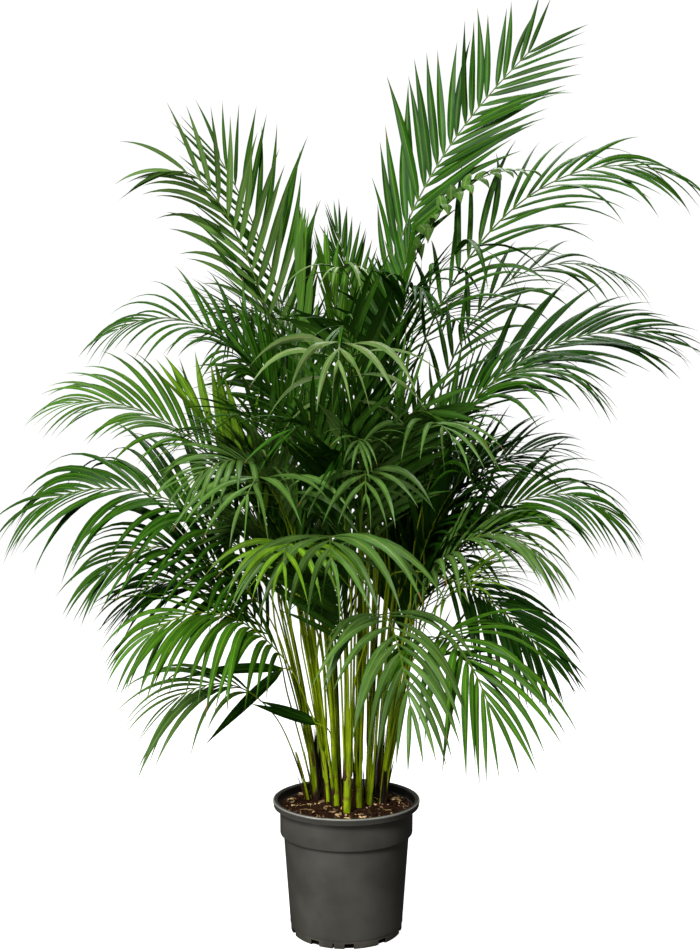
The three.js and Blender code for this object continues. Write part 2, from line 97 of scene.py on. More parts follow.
class Wire:
    """A number that flows through a material; sums on it become Math nodes."""

    def __init__(self, recipe: Recipe, socket: bpy.types.NodeSocket) -> None:
        """Keeps the socket and the recipe that its nodes go into."""
        self.recipe = recipe
        self.socket = socket

    def _math(self, operation: str, *values: Any, clamp: bool = False) -> Wire:
        """Adds one Math node.

        Args:
            operation: The node's operation.
            values: Its inputs in order, wires or plain numbers.
            clamp: Whether the result is kept within 0 and 1.

        Returns:
            The node's result.
        """
        node = self.recipe.node(
            "ShaderNodeMath", {"operation": operation, "use_clamp": clamp}, dict(enumerate(values))
        )
        return Wire(self.recipe, node.outputs[0])

    def __add__(self, other: Any) -> Wire:
        """Returns self + other."""
        return self._math("ADD", self, other)

    def __radd__(self, other: Any) -> Wire:
        """Returns other + self."""
        return self._math("ADD", other, self)

    def __sub__(self, other: Any) -> Wire:
        """Returns self - other."""
        return self._math("SUBTRACT", self, other)

    def __rsub__(self, other: Any) -> Wire:
        """Returns other - self."""
        return self._math("SUBTRACT", other, self)

    def __mul__(self, other: Any) -> Wire:
        """Returns self * other."""
        return self._math("MULTIPLY", self, other)

    def __rmul__(self, other: Any) -> Wire:
        """Returns other * self."""
        return self._math("MULTIPLY", other, self)

    def __pow__(self, other: Any) -> Wire:
        """Returns self to the power other."""
        return self._math("POWER", self, other)

    def __rpow__(self, other: Any) -> Wire:
        """Returns other to the power self."""
        return self._math("POWER", other, self)

    def distance(self, other: Any) -> Wire:
        """Returns how far the two numbers are apart."""
        return self._math("ABSOLUTE", self - other)

    def clamped(self) -> Wire:
        """Returns the number kept within 0 and 1."""
        return self._math("ADD", self, 0.0, clamp=True)

    def between(self, low: float, high: float) -> Wire:
        """Returns a smooth step from 0 at low to 1 at high."""
        node = self.recipe.node(
            "ShaderNodeMapRange",
            {"interpolation_type": "SMOOTHSTEP"},
            {"Value": self, "From Min": low, "From Max": high},
        )
        return Wire(self.recipe, node.outputs["Result"])


class Recipe:
    """A material under construction."""

    def __init__(self, name: str) -> None:
        """Starts an empty node material.

        Args:
            name: The material's name.
        """
        self.material = bpy.data.materials.new(name)
        self.material.use_nodes = True
        self.tree = self.material.node_tree
        self.tree.nodes.clear()

    def node(
        self,
        kind: str,
        settings: dict[str, Any] | None = None,
        inputs: dict[Any, Any] | None = None,
    ) -> bpy.types.Node:
        """Adds a node.

        Args:
            kind: The node's type.
            settings: Its own properties, set before anything else.
            inputs: Its sockets by name or number, each with a value, a socket or a wire.

        Returns:
            The new node.
        """
        node = self.tree.nodes.new(kind)
        for name, value in (settings or {}).items():
            setattr(node, name, value)
        for key, value in (inputs or {}).items():
            source = value.socket if isinstance(value, Wire) else value
            if isinstance(source, bpy.types.NodeSocket):
                self.tree.links.new(source, node.inputs[key])
            else:
                node.inputs[key].default_value = source
        return node

    def attribute(self, name: str) -> Wire:
        """Returns a number stored on the mesh under that name."""
        node = self.node("ShaderNodeAttribute", {"attribute_name": name})
        return Wire(self, node.outputs["Fac"])

    def split(self, vector: bpy.types.NodeSocket) -> list[Wire]:
        """Returns the three numbers of a vector."""
        node = self.node("ShaderNodeSeparateXYZ", None, {0: vector})
        return [Wire(self, part) for part in node.outputs]

    def leaf_place(self) -> list[Wire]:
        """Returns the place across (0 to 1) and along from the piece's UV map."""
        return self.split(self.node("ShaderNodeUVMap", {"uv_map": LEAF_UV}).outputs[0])[:2]

    def position(self) -> bpy.types.NodeSocket:
        """Returns the place in the object's own coordinates."""
        return self.node("ShaderNodeTexCoord").outputs["Object"]

    def vector(self, *parts: Any) -> bpy.types.NodeSocket:
        """Returns a vector of three numbers or wires."""
        return self.node("ShaderNodeCombineXYZ", None, dict(enumerate(parts))).outputs[0]

    def stretched(self, vector: bpy.types.NodeSocket, scale: Vec) -> bpy.types.NodeSocket:
        """Returns the vector scaled along each axis."""
        return self.node("ShaderNodeMapping", None, {"Vector": vector, "Scale": scale}).outputs[0]

    def noise(self, vector: bpy.types.NodeSocket, scale: float, detail: float) -> Wire:
        """Returns a soft noise of about 0 to 1 that repeats nowhere."""
        inputs = {"Vector": vector, "Scale": scale, "Detail": detail}
        return Wire(self, self.node("ShaderNodeTexNoise", None, inputs).outputs["Fac"])

    def mix(self, factor: Any, low: Any, high: Any, blend: str = "MIX") -> bpy.types.NodeSocket:
        """Returns a colour between two, or the second laid over the first in a blend mode."""
        settings = {"data_type": "RGBA", "blend_type": blend, "clamp_factor": True}
        return self.node("ShaderNodeMix", settings, {0: factor, 6: low, 7: high}).outputs[2]

    def bump(self, height: Wire, depth: float, strength: float) -> bpy.types.NodeSocket:
        """Returns a normal raised by a height of 0 to 1 that is depth metres tall."""
        inputs = {"Height": height, "Distance": depth, "Strength": strength}
        return self.node("ShaderNodeBump", None, inputs).outputs["Normal"]

    def skin(
        self,
        colour: bpy.types.NodeSocket,
        roughness: Wire,
        normal: bpy.types.NodeSocket,
        fixed: dict[str, float] | None = None,
    ) -> bpy.types.NodeSocket:
        """Adds the Principled shader.

        Args:
            colour: The base colour.
            roughness: How matt each place is.
            normal: The raised normal.
            fixed: Other sockets by name, each the same all over the piece.

        Returns:
            The shader.
        """
        inputs = {"Base Color": colour, "Roughness": roughness, "Normal": normal, **(fixed or {})}
        return self.node("ShaderNodeBsdfPrincipled", None, inputs).outputs[0]

    def finish(self, shader: bpy.types.NodeSocket) -> bpy.types.Material:
        """Joins the shader to the output and returns the material."""
        self.node("ShaderNodeOutputMaterial", None, {"Surface": shader})
        return self.material


# ---------------------------------------------------------------------------------------------
# Finishes
# ---------------------------------------------------------------------------------------------


@dataclass(frozen=True)
class LeafFinish:
    """A waxy leaf blade: veins along it, a pale midrib, darker margins and dry tips.

    Attributes:
        name: The material's name.
        blade: The main colour of the upper side.
        shade: The colour of darker patches and margins.
        midrib: The colour of the midrib and the leaflet's base.
        under: The colour of the lower side.
        glow: The colour of light that shines through.
        roughness: How matt the upper side is.
        dryness: How many tips are brown, 0 to 1.
    """

    name: str
    blade: Colour
    shade: Colour
    midrib: Colour
    under: Colour
    glow: Colour
    roughness: float = 0.42
    dryness: float = 0.35

    # Waves of noise across and along a leaflet, and the share of light that passes through.
    VEINS = (26.0, 2.2)
    PATCHES = (1.5, 5.0)
    THROUGH = 0.17
    DRY = tint(120, 92, 52)
    RELIEF = 0.25 * MM
    GLOSS = {"IOR": 1.45, "Specular IOR Level": 0.16}

    def build(self) -> bpy.types.Material:
        """Builds the material from the place across and along a leaflet and its own number.

        Each leaflet reads a part of the noise of its own. The number also makes it a quarter
        lighter or darker and decides whether its tip is dry.

        Returns:
            The material.
        """
        recipe = Recipe(self.name)
        across, along = recipe.leaf_place()
        leaflet = recipe.attribute("leaflet")
        below = recipe.attribute("below")
        from_midrib = across.distance(0.5) * 2.0

        lines, waves = self.VEINS
        place = recipe.vector(across * lines + leaflet * 91.0, along * waves, leaflet * 57.0)
        veins = recipe.noise(place, 1.0, 2.0)
        lines, waves = self.PATCHES
        place = recipe.vector(across * lines, along * waves, leaflet * 43.0)
        patches = recipe.noise(place, 1.0, 4.0)

        # Patches and margins are darker, veins and midrib paler and the lower side is duller.
        margin = from_midrib.between(0.55, 1.05)
        colour = recipe.mix(patches.between(0.35, 0.75) * 0.7, self.blade, self.shade)
        colour = recipe.mix(margin * 0.45, colour, self.shade)
        colour = recipe.mix(veins.between(0.5, 0.72) * 0.35, colour, self.midrib)
        colour = recipe.mix(below * 0.75, colour, self.under)
        rib = 1.0 - from_midrib.between(0.03, 0.16)
        foot = 1.0 - along.between(0.0, 0.06)
        colour = recipe.mix((rib * 0.7 + foot * 0.3).clamped(), colour, self.midrib)
        light = leaflet * 0.5 + 0.75
        colour = recipe.mix(1.0, colour, recipe.vector(light, light, light), "MULTIPLY")

        # The last few hundredths of some leaflets are dry, up to a ragged line.
        dry_from = 1.04 - leaflet.between(1.0 - self.dryness, 1.0) * 0.16
        ragged = along + (patches - 0.5) * 0.08 + from_midrib * 0.015
        dry = (ragged - dry_from).between(-0.008, 0.012)
        colour = recipe.mix(dry * 0.9, colour, self.DRY)

        rough = self.roughness + patches * 0.14 - 0.07 + below * 0.16 + dry * 0.2
        relief = recipe.bump(veins * 0.55 + rib * 0.5, self.RELIEF, 0.6)
        skin = recipe.skin(colour, rough, relief, self.GLOSS)
        glow = recipe.node("ShaderNodeBsdfTranslucent", None, {"Color": self.glow}).outputs[0]
        both = recipe.node("ShaderNodeMixShader", None, {0: self.THROUGH, 1: skin, 2: glow})
        return recipe.finish(both.outputs[0])


class Tone(Enum):
    """The leaf colours from old inner fronds to new ones; some also paint in light and shade."""

    # DARK is partly painted shade: it goes on fronds deep in the crown and on the side away from
    # the main light.
    DARK = LeafFinish(
        "leaf_dark", tint(22, 62, 4), tint(6, 28, 1), tint(54, 96, 10), tint(36, 74, 12),
        tint(50, 110, 2),
    )
    DEEP = LeafFinish(
        "leaf_deep", tint(36, 84, 10), tint(14, 48, 4), tint(92, 130, 26), tint(56, 98, 26),
        tint(70, 140, 4),
    )
    MID = LeafFinish(
        "leaf_mid", tint(60, 112, 20), tint(30, 72, 10), tint(122, 156, 40), tint(76, 118, 38),
        tint(90, 160, 6),
    )
    # SHEEN and PALE are greyed to paint in the sheen that the light leaves on glossy fronds facing
    # it.
    SHEEN = LeafFinish(
        "leaf_sheen", tint(76, 114, 48), tint(42, 76, 26), tint(126, 148, 64), tint(80, 114, 50),
        tint(80, 140, 14), roughness=0.34,
    )
    PALE = LeafFinish(
        "leaf_pale", tint(98, 130, 66), tint(56, 94, 36), tint(160, 150, 104), tint(106, 132, 74),
        tint(100, 150, 26), roughness=0.36,
    )
    FRESH = LeafFinish(
        "leaf_fresh", tint(94, 138, 26), tint(56, 98, 14), tint(152, 178, 40), tint(104, 144, 28),
        tint(120, 180, 6), dryness=0.15,
    )


@dataclass(frozen=True)
class StalkFinish:
    """The smooth skin of a rachis, petiole or cane, streaked along and dotted with brown.

    Attributes:
        name: The material's name.
        skin: The main colour.
        streak: The colour of the streaks.
        scar: The colour of specks and of the rings that old leaves left.
        foot: The colour of dead skin low down.
        upper: The colour far up the stalk.
    """

    name: str
    skin: Colour
    streak: Colour
    scar: Colour
    foot: Colour
    upper: Colour

    # Where the upper colour sets in and is full, in units of the UV map along the stalk.
    TURNS_UPPER = (2.5, 6.0)
    RELIEF = 0.4 * MM
    GLOSS = {"Specular IOR Level": 0.22}

    def build(self) -> bpy.types.Material:
        """Builds the material from the place round and along the tube and its stored numbers.

        Returns:
            The material.
        """
        recipe = Recipe(self.name)
        around, along = recipe.leaf_place()
        piece = recipe.attribute("leaflet")
        scar = recipe.attribute("scar")
        low = recipe.attribute("low")
        streaks = recipe.noise(recipe.vector(around * 9.0, along * 3.0, piece * 31.0), 1.0, 4.0)
        place = recipe.position()
        specks = recipe.noise(recipe.stretched(place, (1.0, 1.0, 0.35)), 420.0, 2.0)
        blotches = recipe.noise(recipe.stretched(place, (1.0, 1.0, 0.3)), 60.0, 4.0)

        # Streaked, another colour further up, with specks, a dead foot and the rings.
        colour = recipe.mix(streaks.between(0.35, 0.7), self.skin, self.streak)
        colour = recipe.mix(along.between(*self.TURNS_UPPER), colour, self.upper)
        colour = recipe.mix(specks.between(0.66, 0.74) * 0.55, colour, self.scar)
        dead = (low + (blotches - 0.5) * 0.9).between(0.45, 0.75)
        colour = recipe.mix(dead, colour, self.foot)
        colour = recipe.mix(scar * 0.85, colour, self.scar)
        rough = 0.4 + dead * 0.35 + scar * 0.2
        relief = recipe.bump(streaks + blotches * dead * 2.0, self.RELIEF, 0.5)
        return recipe.finish(recipe.skin(colour, rough, relief, self.GLOSS))


@dataclass(frozen=True)
class PotFinish:
    """Dark grey moulded plastic: satin, with faint moulding lines, scuffs and dust at its foot.

    It has painted shade where little light falls, in the drainage notches and on the wall inside
    the rim, and a painted highlight along the lip's outer edge. The zones are radii and heights in
    metres.
    """

    name: str = "pot_plastic"

    GREYS = (tint(62, 61, 56), tint(77, 76, 70))
    SCUFF = tint(112, 110, 102)
    DUST = tint(110, 98, 82)
    # The darkest grey is painted shade for the notches and the wall inside the rim.
    DARK = tint(16, 15, 12)
    # The palest grey is a painted highlight along the lip's outer edge.
    PAINTED_HIGHLIGHT = tint(168, 168, 160)
    # The zones: painted shade below NOTCH_TOP and within NOTCH_RADIUS, and above INNER_FOOT and
    # within INNER_RADIUS (wider by LIP_ROOM in the lip); a painted highlight beyond the lip's edge.
    NOTCH_RADIUS, NOTCH_TOP = 0.0885, 0.013
    INNER_RADIUS, INNER_FOOT = 0.1075, 0.16
    LIP_FOOT, LIP_ROOM = 0.2, 0.0055
    EDGE_RADIUS, EDGE_FOOT = 0.1174, 0.2099
    BLUR = 0.001
    RELIEF = 0.2 * MM

    def build(self) -> bpy.types.Material:
        """Builds the material from the place on the pot.

        Returns:
            The material.
        """
        recipe = Recipe(self.name)
        place = recipe.position()
        cloud = recipe.noise(place, 14.0, 5.0)
        fine = recipe.noise(place, 900.0, 2.0)
        lines = recipe.noise(recipe.stretched(place, (0.4, 0.4, 90.0)), 3.0, 2.0)
        scuffs = recipe.noise(recipe.stretched(place, (1.0, 1.0, 9.0)), 26.0, 6.0)
        east, north, height = recipe.split(place)
        radius = (east**2.0 + north**2.0) ** 0.5

        # Clouded grey with scuffs, and dust on the lowest two centimetres.
        colour = recipe.mix(cloud.between(0.3, 0.75), *self.GREYS)
        colour = recipe.mix(scuffs.between(0.66, 0.8) * 0.2, colour, self.SCUFF)
        dust = (1.0 - height.between(0.0, 0.02)) * cloud.between(0.3, 0.7)
        colour = recipe.mix(dust * 0.4, colour, self.DUST)
        # Painted shade in the notches and inside the rim, a painted highlight along the lip's edge.
        notch = (self.NOTCH_RADIUS - radius).between(0.0, self.BLUR)
        notch = notch * (self.NOTCH_TOP - height).between(0.0, self.BLUR)
        in_lip = height.between(self.LIP_FOOT, self.LIP_FOOT + self.BLUR)
        room = self.INNER_RADIUS + in_lip * self.LIP_ROOM
        rim = (room - radius).between(0.0, 0.8 * self.BLUR)
        rim = rim * (height - self.INNER_FOOT).between(0.0, 10 * self.BLUR)
        colour = recipe.mix((notch + rim).clamped(), colour, self.DARK)
        # A painted highlight along the lip's outer edge.
        painted_highlight = (radius - self.EDGE_RADIUS).between(0.0, self.BLUR)
        painted_highlight = painted_highlight * (height - self.EDGE_FOOT).between(0.0, 0.8 * self.BLUR)
        colour = recipe.mix(painted_highlight * 0.55, colour, self.PAINTED_HIGHLIGHT)
        rough = 0.26 + cloud * 0.12 + dust * 0.2
        relief = recipe.bump(fine * 0.4 + lines, self.RELIEF, 0.4)
        return recipe.finish(recipe.skin(colour, rough, relief))


@dataclass(frozen=True)
class BarkFinish:
    """Composted bark: each bit has its own brown, some are pale and dry.

    Attributes:
        name: The material's name.
        dark: The colour of the darkest bits.
        pale: The colour of the driest ones.
    """

    name: str
    dark: Colour
    pale: Colour

    DAMP = tint(22, 14, 8)
    GRAIN = tint(110, 76, 40)
    RELIEF = 1.2 * MM
    GLOSS = {"Specular IOR Level": 0.1}

    def build(self) -> bpy.types.Material:
        """Builds the material from the place and each bit's own number.

        Returns:
            The material.
        """
        recipe = Recipe(self.name)
        place = recipe.position()
        bit = recipe.attribute("leaflet")
        grain = recipe.noise(place, 320.0, 5.0)
        clumps = recipe.noise(place, 90.0, 4.0)
        colour = recipe.mix(bit.between(0.4, 0.8), self.dark, self.pale)
        colour = recipe.mix(clumps.between(0.4, 0.7) * 0.5, colour, self.DAMP)
        colour = recipe.mix(grain.between(0.5, 0.75) * 0.3, colour, self.GRAIN)
        relief = recipe.bump(grain + clumps, self.RELIEF, 0.8)
        return recipe.finish(recipe.skin(colour, 0.85 + grain * 0.12, relief, self.GLOSS))


# ---------------------------------------------------------------------------------------------
# Mesh building
# ---------------------------------------------------------------------------------------------


def unit(vectors: np.ndarray) -> np.ndarray:
    """Returns each vector at length one."""
    return vectors / np.maximum(np.linalg.norm(vectors, axis=-1, keepdims=True), 1e-12)


def square_to(vectors: np.ndarray, directions: np.ndarray) -> np.ndarray:
    """Returns the part of each vector square to its direction, at length one."""
    dot = np.sum(vectors * directions, axis=-1, keepdims=True)
    return unit(vectors - dot * directions)


def compass(azimuth: float) -> np.ndarray:
    """Returns the level unit direction at an angle from +X."""
    return np.array([math.cos(azimuth), math.sin(azimuth), 0.0])


def read_off(at: np.ndarray, marks: np.ndarray, points: np.ndarray) -> np.ndarray:
    """Returns the places at some marks of a line whose points have rising marks."""
    return np.stack([np.interp(at, marks, points[:, axis]) for axis in range(3)], axis=-1)


def distances(points: np.ndarray) -> np.ndarray:
    """Returns how far along a line each of its points lies, from the first."""
    return np.concatenate([[0.0], np.cumsum(np.linalg.norm(np.diff(points, axis=0), axis=1))])


class Curve:
    """A cubic Bezier curve that is read by the share of its length."""

    SAMPLES = 600
    REACH = 0.004

    def __init__(self, points: np.ndarray) -> None:
        """Samples the curve: four points weighted by the Bernstein terms of t.

        Args:
            points: The four points, of shape (4, 3).
        """
        t = np.linspace(0.0, 1.0, self.SAMPLES)[:, None]
        a, b, c, d = points
        self.fine = (1 - t) ** 3 * a + 3 * (1 - t) ** 2 * t * b + 3 * (1 - t) * t**2 * c + t**3 * d
        self.span = self.fine[-1] - self.fine[0]
        reach = distances(self.fine)
        self.length = float(reach[-1])
        self.share = reach / self.length

    def at(self, share: np.ndarray) -> np.ndarray:
        """Returns the points at shares of the length."""
        return read_off(share, self.share, self.fine)

    def tangent(self, share: np.ndarray) -> np.ndarray:
        """Returns the unit directions at shares of the length, from just behind to just ahead."""
        ahead, behind = np.clip(share + self.REACH, 0, 1), np.clip(share - self.REACH, 0, 1)
        return unit(self.at(ahead) - self.at(behind))

    def at_height(self, height: Any) -> np.ndarray:
        """Returns the points of a rising curve at one height or several."""
        return read_off(height, self.fine[:, 2], self.fine)


def add_object(name: str, data: Any) -> Any:
    """Makes an object at the scene's origin.

    Args:
        name: Its name.
        data: Its mesh, light or camera.

    Returns:
        The object.
    """
    thing = bpy.data.objects.new(name, data)
    bpy.context.scene.collection.objects.link(thing)
    return thing


@dataclass
class Shell:
    """Closed surfaces gathered into one mesh, all of quads, with numbers kept per vertex."""

    vertices: list[np.ndarray] = field(default_factory=list)
    quads: list[np.ndarray] = field(default_factory=list)
    places: list[np.ndarray] = field(default_factory=list)
    slots: list[np.ndarray] = field(default_factory=list)
    numbers: dict[str, list[np.ndarray]] = field(default_factory=dict)
    below: list[np.ndarray] = field(default_factory=list)
    count: int = 0

    NUMBERS = ("leaflet", "scar", "low")

    @staticmethod
    def cap(size: int) -> np.ndarray:
        """Returns quads that close a ring of an even number of points, as a fan from the first."""
        first = np.arange(0, size - 2, 2)
        return np.stack([np.zeros_like(first), first + 1, first + 2, first + 3], axis=1)

    @staticmethod
    def wall(rings: int, size: int) -> np.ndarray:
        """Joins each ring of a stack to the next.

        Args:
            rings: How many rings there are.
            size: How many points a ring has.

        Returns:
            The quads, each up one side, along the next ring and down the other side.
        """
        ring, side = np.meshgrid(np.arange(rings - 1) * size, np.arange(size), indexing="ij")
        after = (side + 1) % size
        corners = [ring + side, ring + size + side, ring + size + after, ring + after]
        return np.stack(corners, axis=-1).reshape(-1, 4)

    def add_tubes(
        self,
        grid: np.ndarray,
        place: np.ndarray | None = None,
        numbers: dict[str, np.ndarray] | None = None,
        slot: int = 0,
        below: np.ndarray | None = None,
    ) -> None:
        """Adds closed tubes, each a stack of rings with both ends capped.

        Args:
            grid: The points, of shape (tubes, rings, ring size, 3), each ring running so that
                it turns clockwise as seen from the tube's far end.
            place: The UV place of each point, of shape (tubes, rings, ring size, 2), or none.
            numbers: Named numbers that spread to the shape (tubes, rings, ring size).
            slot: The material slot of the faces.
            below: For each side of the ring, 1 where it is the lower side of a blade.
        """
        tubes, rings, size, _ = grid.shape
        cap = self.cap(size)
        one = np.concatenate([self.wall(rings, size), cap, (rings - 1) * size + cap[:, ::-1]])
        every = (one[None] + (np.arange(tubes) * rings * size)[:, None, None]).reshape(-1, 4)
        places = np.zeros((tubes, rings, size, 2)) if place is None else place
        sides = np.zeros(size) if below is None else below
        one_below = np.concatenate([np.tile(sides, rings - 1), np.zeros(2 * len(cap))])
        self.vertices.append(grid.reshape(-1, 3))
        self.quads.append(every + self.count)
        self.places.append(places.reshape(-1, 2))
        self.slots.append(np.full(len(every), slot))
        self.below.append(np.tile(one_below, tubes))
        for name in self.NUMBERS:
            values = (numbers or {}).get(name, np.zeros(1))
            spread = np.broadcast_to(values, (tubes, rings, size))
            self.numbers.setdefault(name, []).append(spread.reshape(-1))
        self.count += tubes * rings * size

    def to_piece(self, name: str, materials: list[bpy.types.Material], crease: float) -> Any:
        """Makes the object.

        Args:
            name: The piece's name.
            materials: One for each slot.
            crease: The angle in degrees past which an edge stays sharp.

        Returns:
            The new object, at the origin.
        """
        quads = np.concatenate(self.quads)
        mesh = bpy.data.meshes.new(name)
        mesh.from_pydata(np.concatenate(self.vertices), [], quads.tolist())
        for material in materials:
            mesh.materials.append(material)
        mesh.polygons.foreach_set("material_index", np.concatenate(self.slots).astype(np.int32))
        corners = np.concatenate(self.places)[quads.ravel()]
        mesh.uv_layers.new(name=LEAF_UV).data.foreach_set("uv", corners.astype(np.float32).ravel())
        kept = [(key, "POINT", values) for key, values in self.numbers.items()]
        for key, domain, values in [*kept, ("below", "FACE", self.below)]:
            layer = mesh.attributes.new(key, "FLOAT", domain)
            layer.data.foreach_set("value", np.concatenate(values).astype(np.float32))
        mesh.shade_smooth()
        mesh.set_sharp_from_angle(angle=math.radians(crease))
        return add_object(name, mesh)


def ring_angles(size: int) -> np.ndarray:
    """Returns evenly spaced angles that run clockwise."""
    return -np.arange(size) * 2 * np.pi / size


def oval_tubes(
    centres: np.ndarray,
    side: np.ndarray,
    depth: np.ndarray,
    breadth: np.ndarray,
    thickness: np.ndarray,
    size: int,
) -> np.ndarray:
    """Works out tubes: side times breadth by the cosine, plus depth times thickness by the sine.

    Args:
        centres: The centres of the rings, of shape (..., rings, 3).
        side: A unit direction square to the tube for each ring.
        depth: The other one, with side and depth turning towards the tube's far end.
        breadth: The radius towards the side, spreading to (..., rings, size).
        thickness: The radius towards the depth, likewise.
        size: How many points a ring has.

    Returns:
        The points, of shape (..., rings, size, 3).
    """
    angle = ring_angles(size)
    sideways = side[..., None, :] * (breadth * np.cos(angle))[..., None]
    deep = depth[..., None, :] * (thickness * np.sin(angle))[..., None]
    return centres[..., None, :] + sideways + deep


def turned(outline: np.ndarray, size: int) -> np.ndarray:
    """Turns an outline round the upright axis.

    Args:
        outline: The radius and height of each of its points, of shape (points, 2).
        size: How many points a ring has.

    Returns:
        The points, of shape (points, size, 3).
    """
    angle = ring_angles(size)
    radius, height = outline[:, :1], np.broadcast_to(outline[:, 1:], (len(outline), size))
    return np.stack([radius * np.cos(angle), radius * np.sin(angle), height], axis=-1)


def tube_places(rings: np.ndarray, size: int) -> np.ndarray:
    """Returns UV places of one tube: the share of a turn and the given place along."""
    around = np.arange(size) / size
    return np.stack(np.broadcast_arrays(around[None, :], rings[:, None]), axis=-1)[None]


# ---------------------------------------------------------------------------------------------
# Canes
# ---------------------------------------------------------------------------------------------


@dataclass(frozen=True)
class Cane:
    """One ringed stem, rooted in the soil and leaning outwards higher up. Sizes in millimetres.

    Attributes:
        number: Its number, from 1.
        foot: Where it stands, as x and y.
        top: Its upper end.
        foot_radius: The radius at its foot.
        top_radius: The radius at its top.
        age: How brown its foot is, and how many husks it has.
    """

    number: int
    foot: tuple[float, float]
    top: Vec
    foot_radius: float
    top_radius: float
    age: float = 0.4

    RINGS, SIDES = 90, 14
    # Shares of the way from foot to top where the curve's two inner points lie.
    LOW_PULL = (0.1, 0.1, 0.35)
    HIGH_PULL = (0.55, 0.55, 0.7)
    # The leaf scars: how many, their gaps at foot and top, their width and that of the swelling.
    SCARS, SCAR_GAPS = 40, (26, 62)
    SCAR_WIDTH, SWELL_WIDTH = 1.6 * MM, 6 * MM
    SCAR_DEPTH, SWELL, WANDER = 0.03, 0.05, 0.03
    BARE_HEIGHT = 150 * MM
    BROWN_HEIGHT = 90 * MM

    @property
    def name(self) -> str:
        """Returns the name of the solid that this cane stands for."""
        return f"cane_{self.number:02d}"

    def curve(self) -> Curve:
        """Works out the centre line, which rises steeply and then leans to its top.

        Returns:
            The line in metres.
        """
        start = np.array([*self.foot, 0.0]) * MM + UP * (SOIL_CROWN - ROOTED_DEPTH)
        end = np.array(self.top) * MM
        low, high = start + (end - start) * self.LOW_PULL, start + (end - start) * self.HIGH_PULL
        return Curve(np.array([start, low, high, end]))

    def radius(self, share: np.ndarray) -> np.ndarray:
        """Returns the radius in metres: the foot's, falling fast at first, then to the top's."""
        return (self.top_radius + (self.foot_radius - self.top_radius) * (1 - share) ** 3.2) * MM

    def level_cut(self, heights: np.ndarray) -> tuple[np.ndarray, np.ndarray]:
        """Returns the centres and the radii of the cane at some heights, in metres."""
        line = self.curve()
        return line.at_height(heights), self.radius((heights - line.fine[0, 2]) / line.span[2])

    def build(self, skin: bpy.types.Material) -> Any:
        """Builds the cane as a tube whose radius tapers, swells at each ring and wanders a little.

        Args:
            skin: The finish of its skin.

        Returns:
            The piece.
        """
        rng = np.random.default_rng(CANE_SEED + self.number)
        curve = self.curve()
        share = np.linspace(0, 1, self.RINGS)
        gaps = np.linspace(*self.SCAR_GAPS, self.SCARS) * rng.uniform(0.8, 1.2, self.SCARS) * MM
        scars_at = (ROOTED_DEPTH + np.cumsum(gaps)) / curve.length
        nearest = np.abs(share[:, None] - scars_at[None]).min(axis=1) * curve.length
        scar = np.exp(-((nearest / self.SCAR_WIDTH) ** 2))
        swell = np.exp(-((nearest / self.SWELL_WIDTH) ** 2))
        bare = np.clip(1 - (share * curve.length - ROOTED_DEPTH) / self.BARE_HEIGHT, 0.15, 1)
        rounded_top = 1 - 0.75 * share**40
        swollen = 1 + self.SWELL * swell - self.SCAR_DEPTH * scar * bare
        wave = np.sin(2 * ring_angles(self.SIDES) + 9 * share[:, None] + self.number)
        radius = (self.radius(share) * swollen * rounded_top)[:, None] * (1 + self.WANDER * wave)
        tangent = curve.tangent(share)
        side = square_to(np.broadcast_to([1.0, 0.0, 0.0], tangent.shape), tangent)
        line = curve.at(share)
        grid = oval_tubes(line, side, np.cross(tangent, side), radius, radius, self.SIDES)[None]
        above = (line[:, 2] - SOIL_CROWN) / self.BROWN_HEIGHT
        numbers = {
            "scar": (scar * bare)[None, :, None],
            "low": (np.clip(1 - above, 0, 1) * self.age)[None, :, None],
            "leaflet": np.array([self.number / len(CANES)]),
        }
        shell = Shell()
        shell.add_tubes(grid, tube_places(share * curve.length / UV_LENGTH, self.SIDES), numbers)
        return shell.to_piece(f"ringed_{self.name}", [skin], crease=60)


CANES = (
    Cane(1, (-60, 14), (-84, 11, 285), 4.2, 2.0),
    Cane(2, (-48, 30), (-110, 30, 560), 7.5, 3.2, age=0.9),
    Cane(3, (-28, 6), (-85, -20, 620), 5.0, 3.0),
    Cane(4, (-16, -12), (-40, -50, 560), 7.0, 3.2),
    Cane(5, (2, -48), (-2, -75, 600), 8.0, 3.5, age=0.25),
    Cane(6, (20, -24), (25, -45, 700), 6.5, 3.2, age=0.6),
    Cane(7, (36, -4), (62, 0, 780), 6.5, 3.2),
    Cane(8, (50, 28), (95, 60, 660), 5.0, 3.0, age=1.2),
    Cane(9, (58, 4), (105, -20, 540), 6.0, 3.0),
    Cane(10, (62, 58), (115, 120, 560), 4.5, 2.8),
    Cane(11, (-12, 44), (-65, 80, 860), 7.0, 3.2, age=1.2),
    Cane(12, (18, 50), (38, 75, 900), 7.0, 3.2),
    Cane(13, (-40, 62), (-70, 170, 600), 5.5, 3.0, age=1.0),
)


# ---------------------------------------------------------------------------------------------
# Fronds
# ---------------------------------------------------------------------------------------------


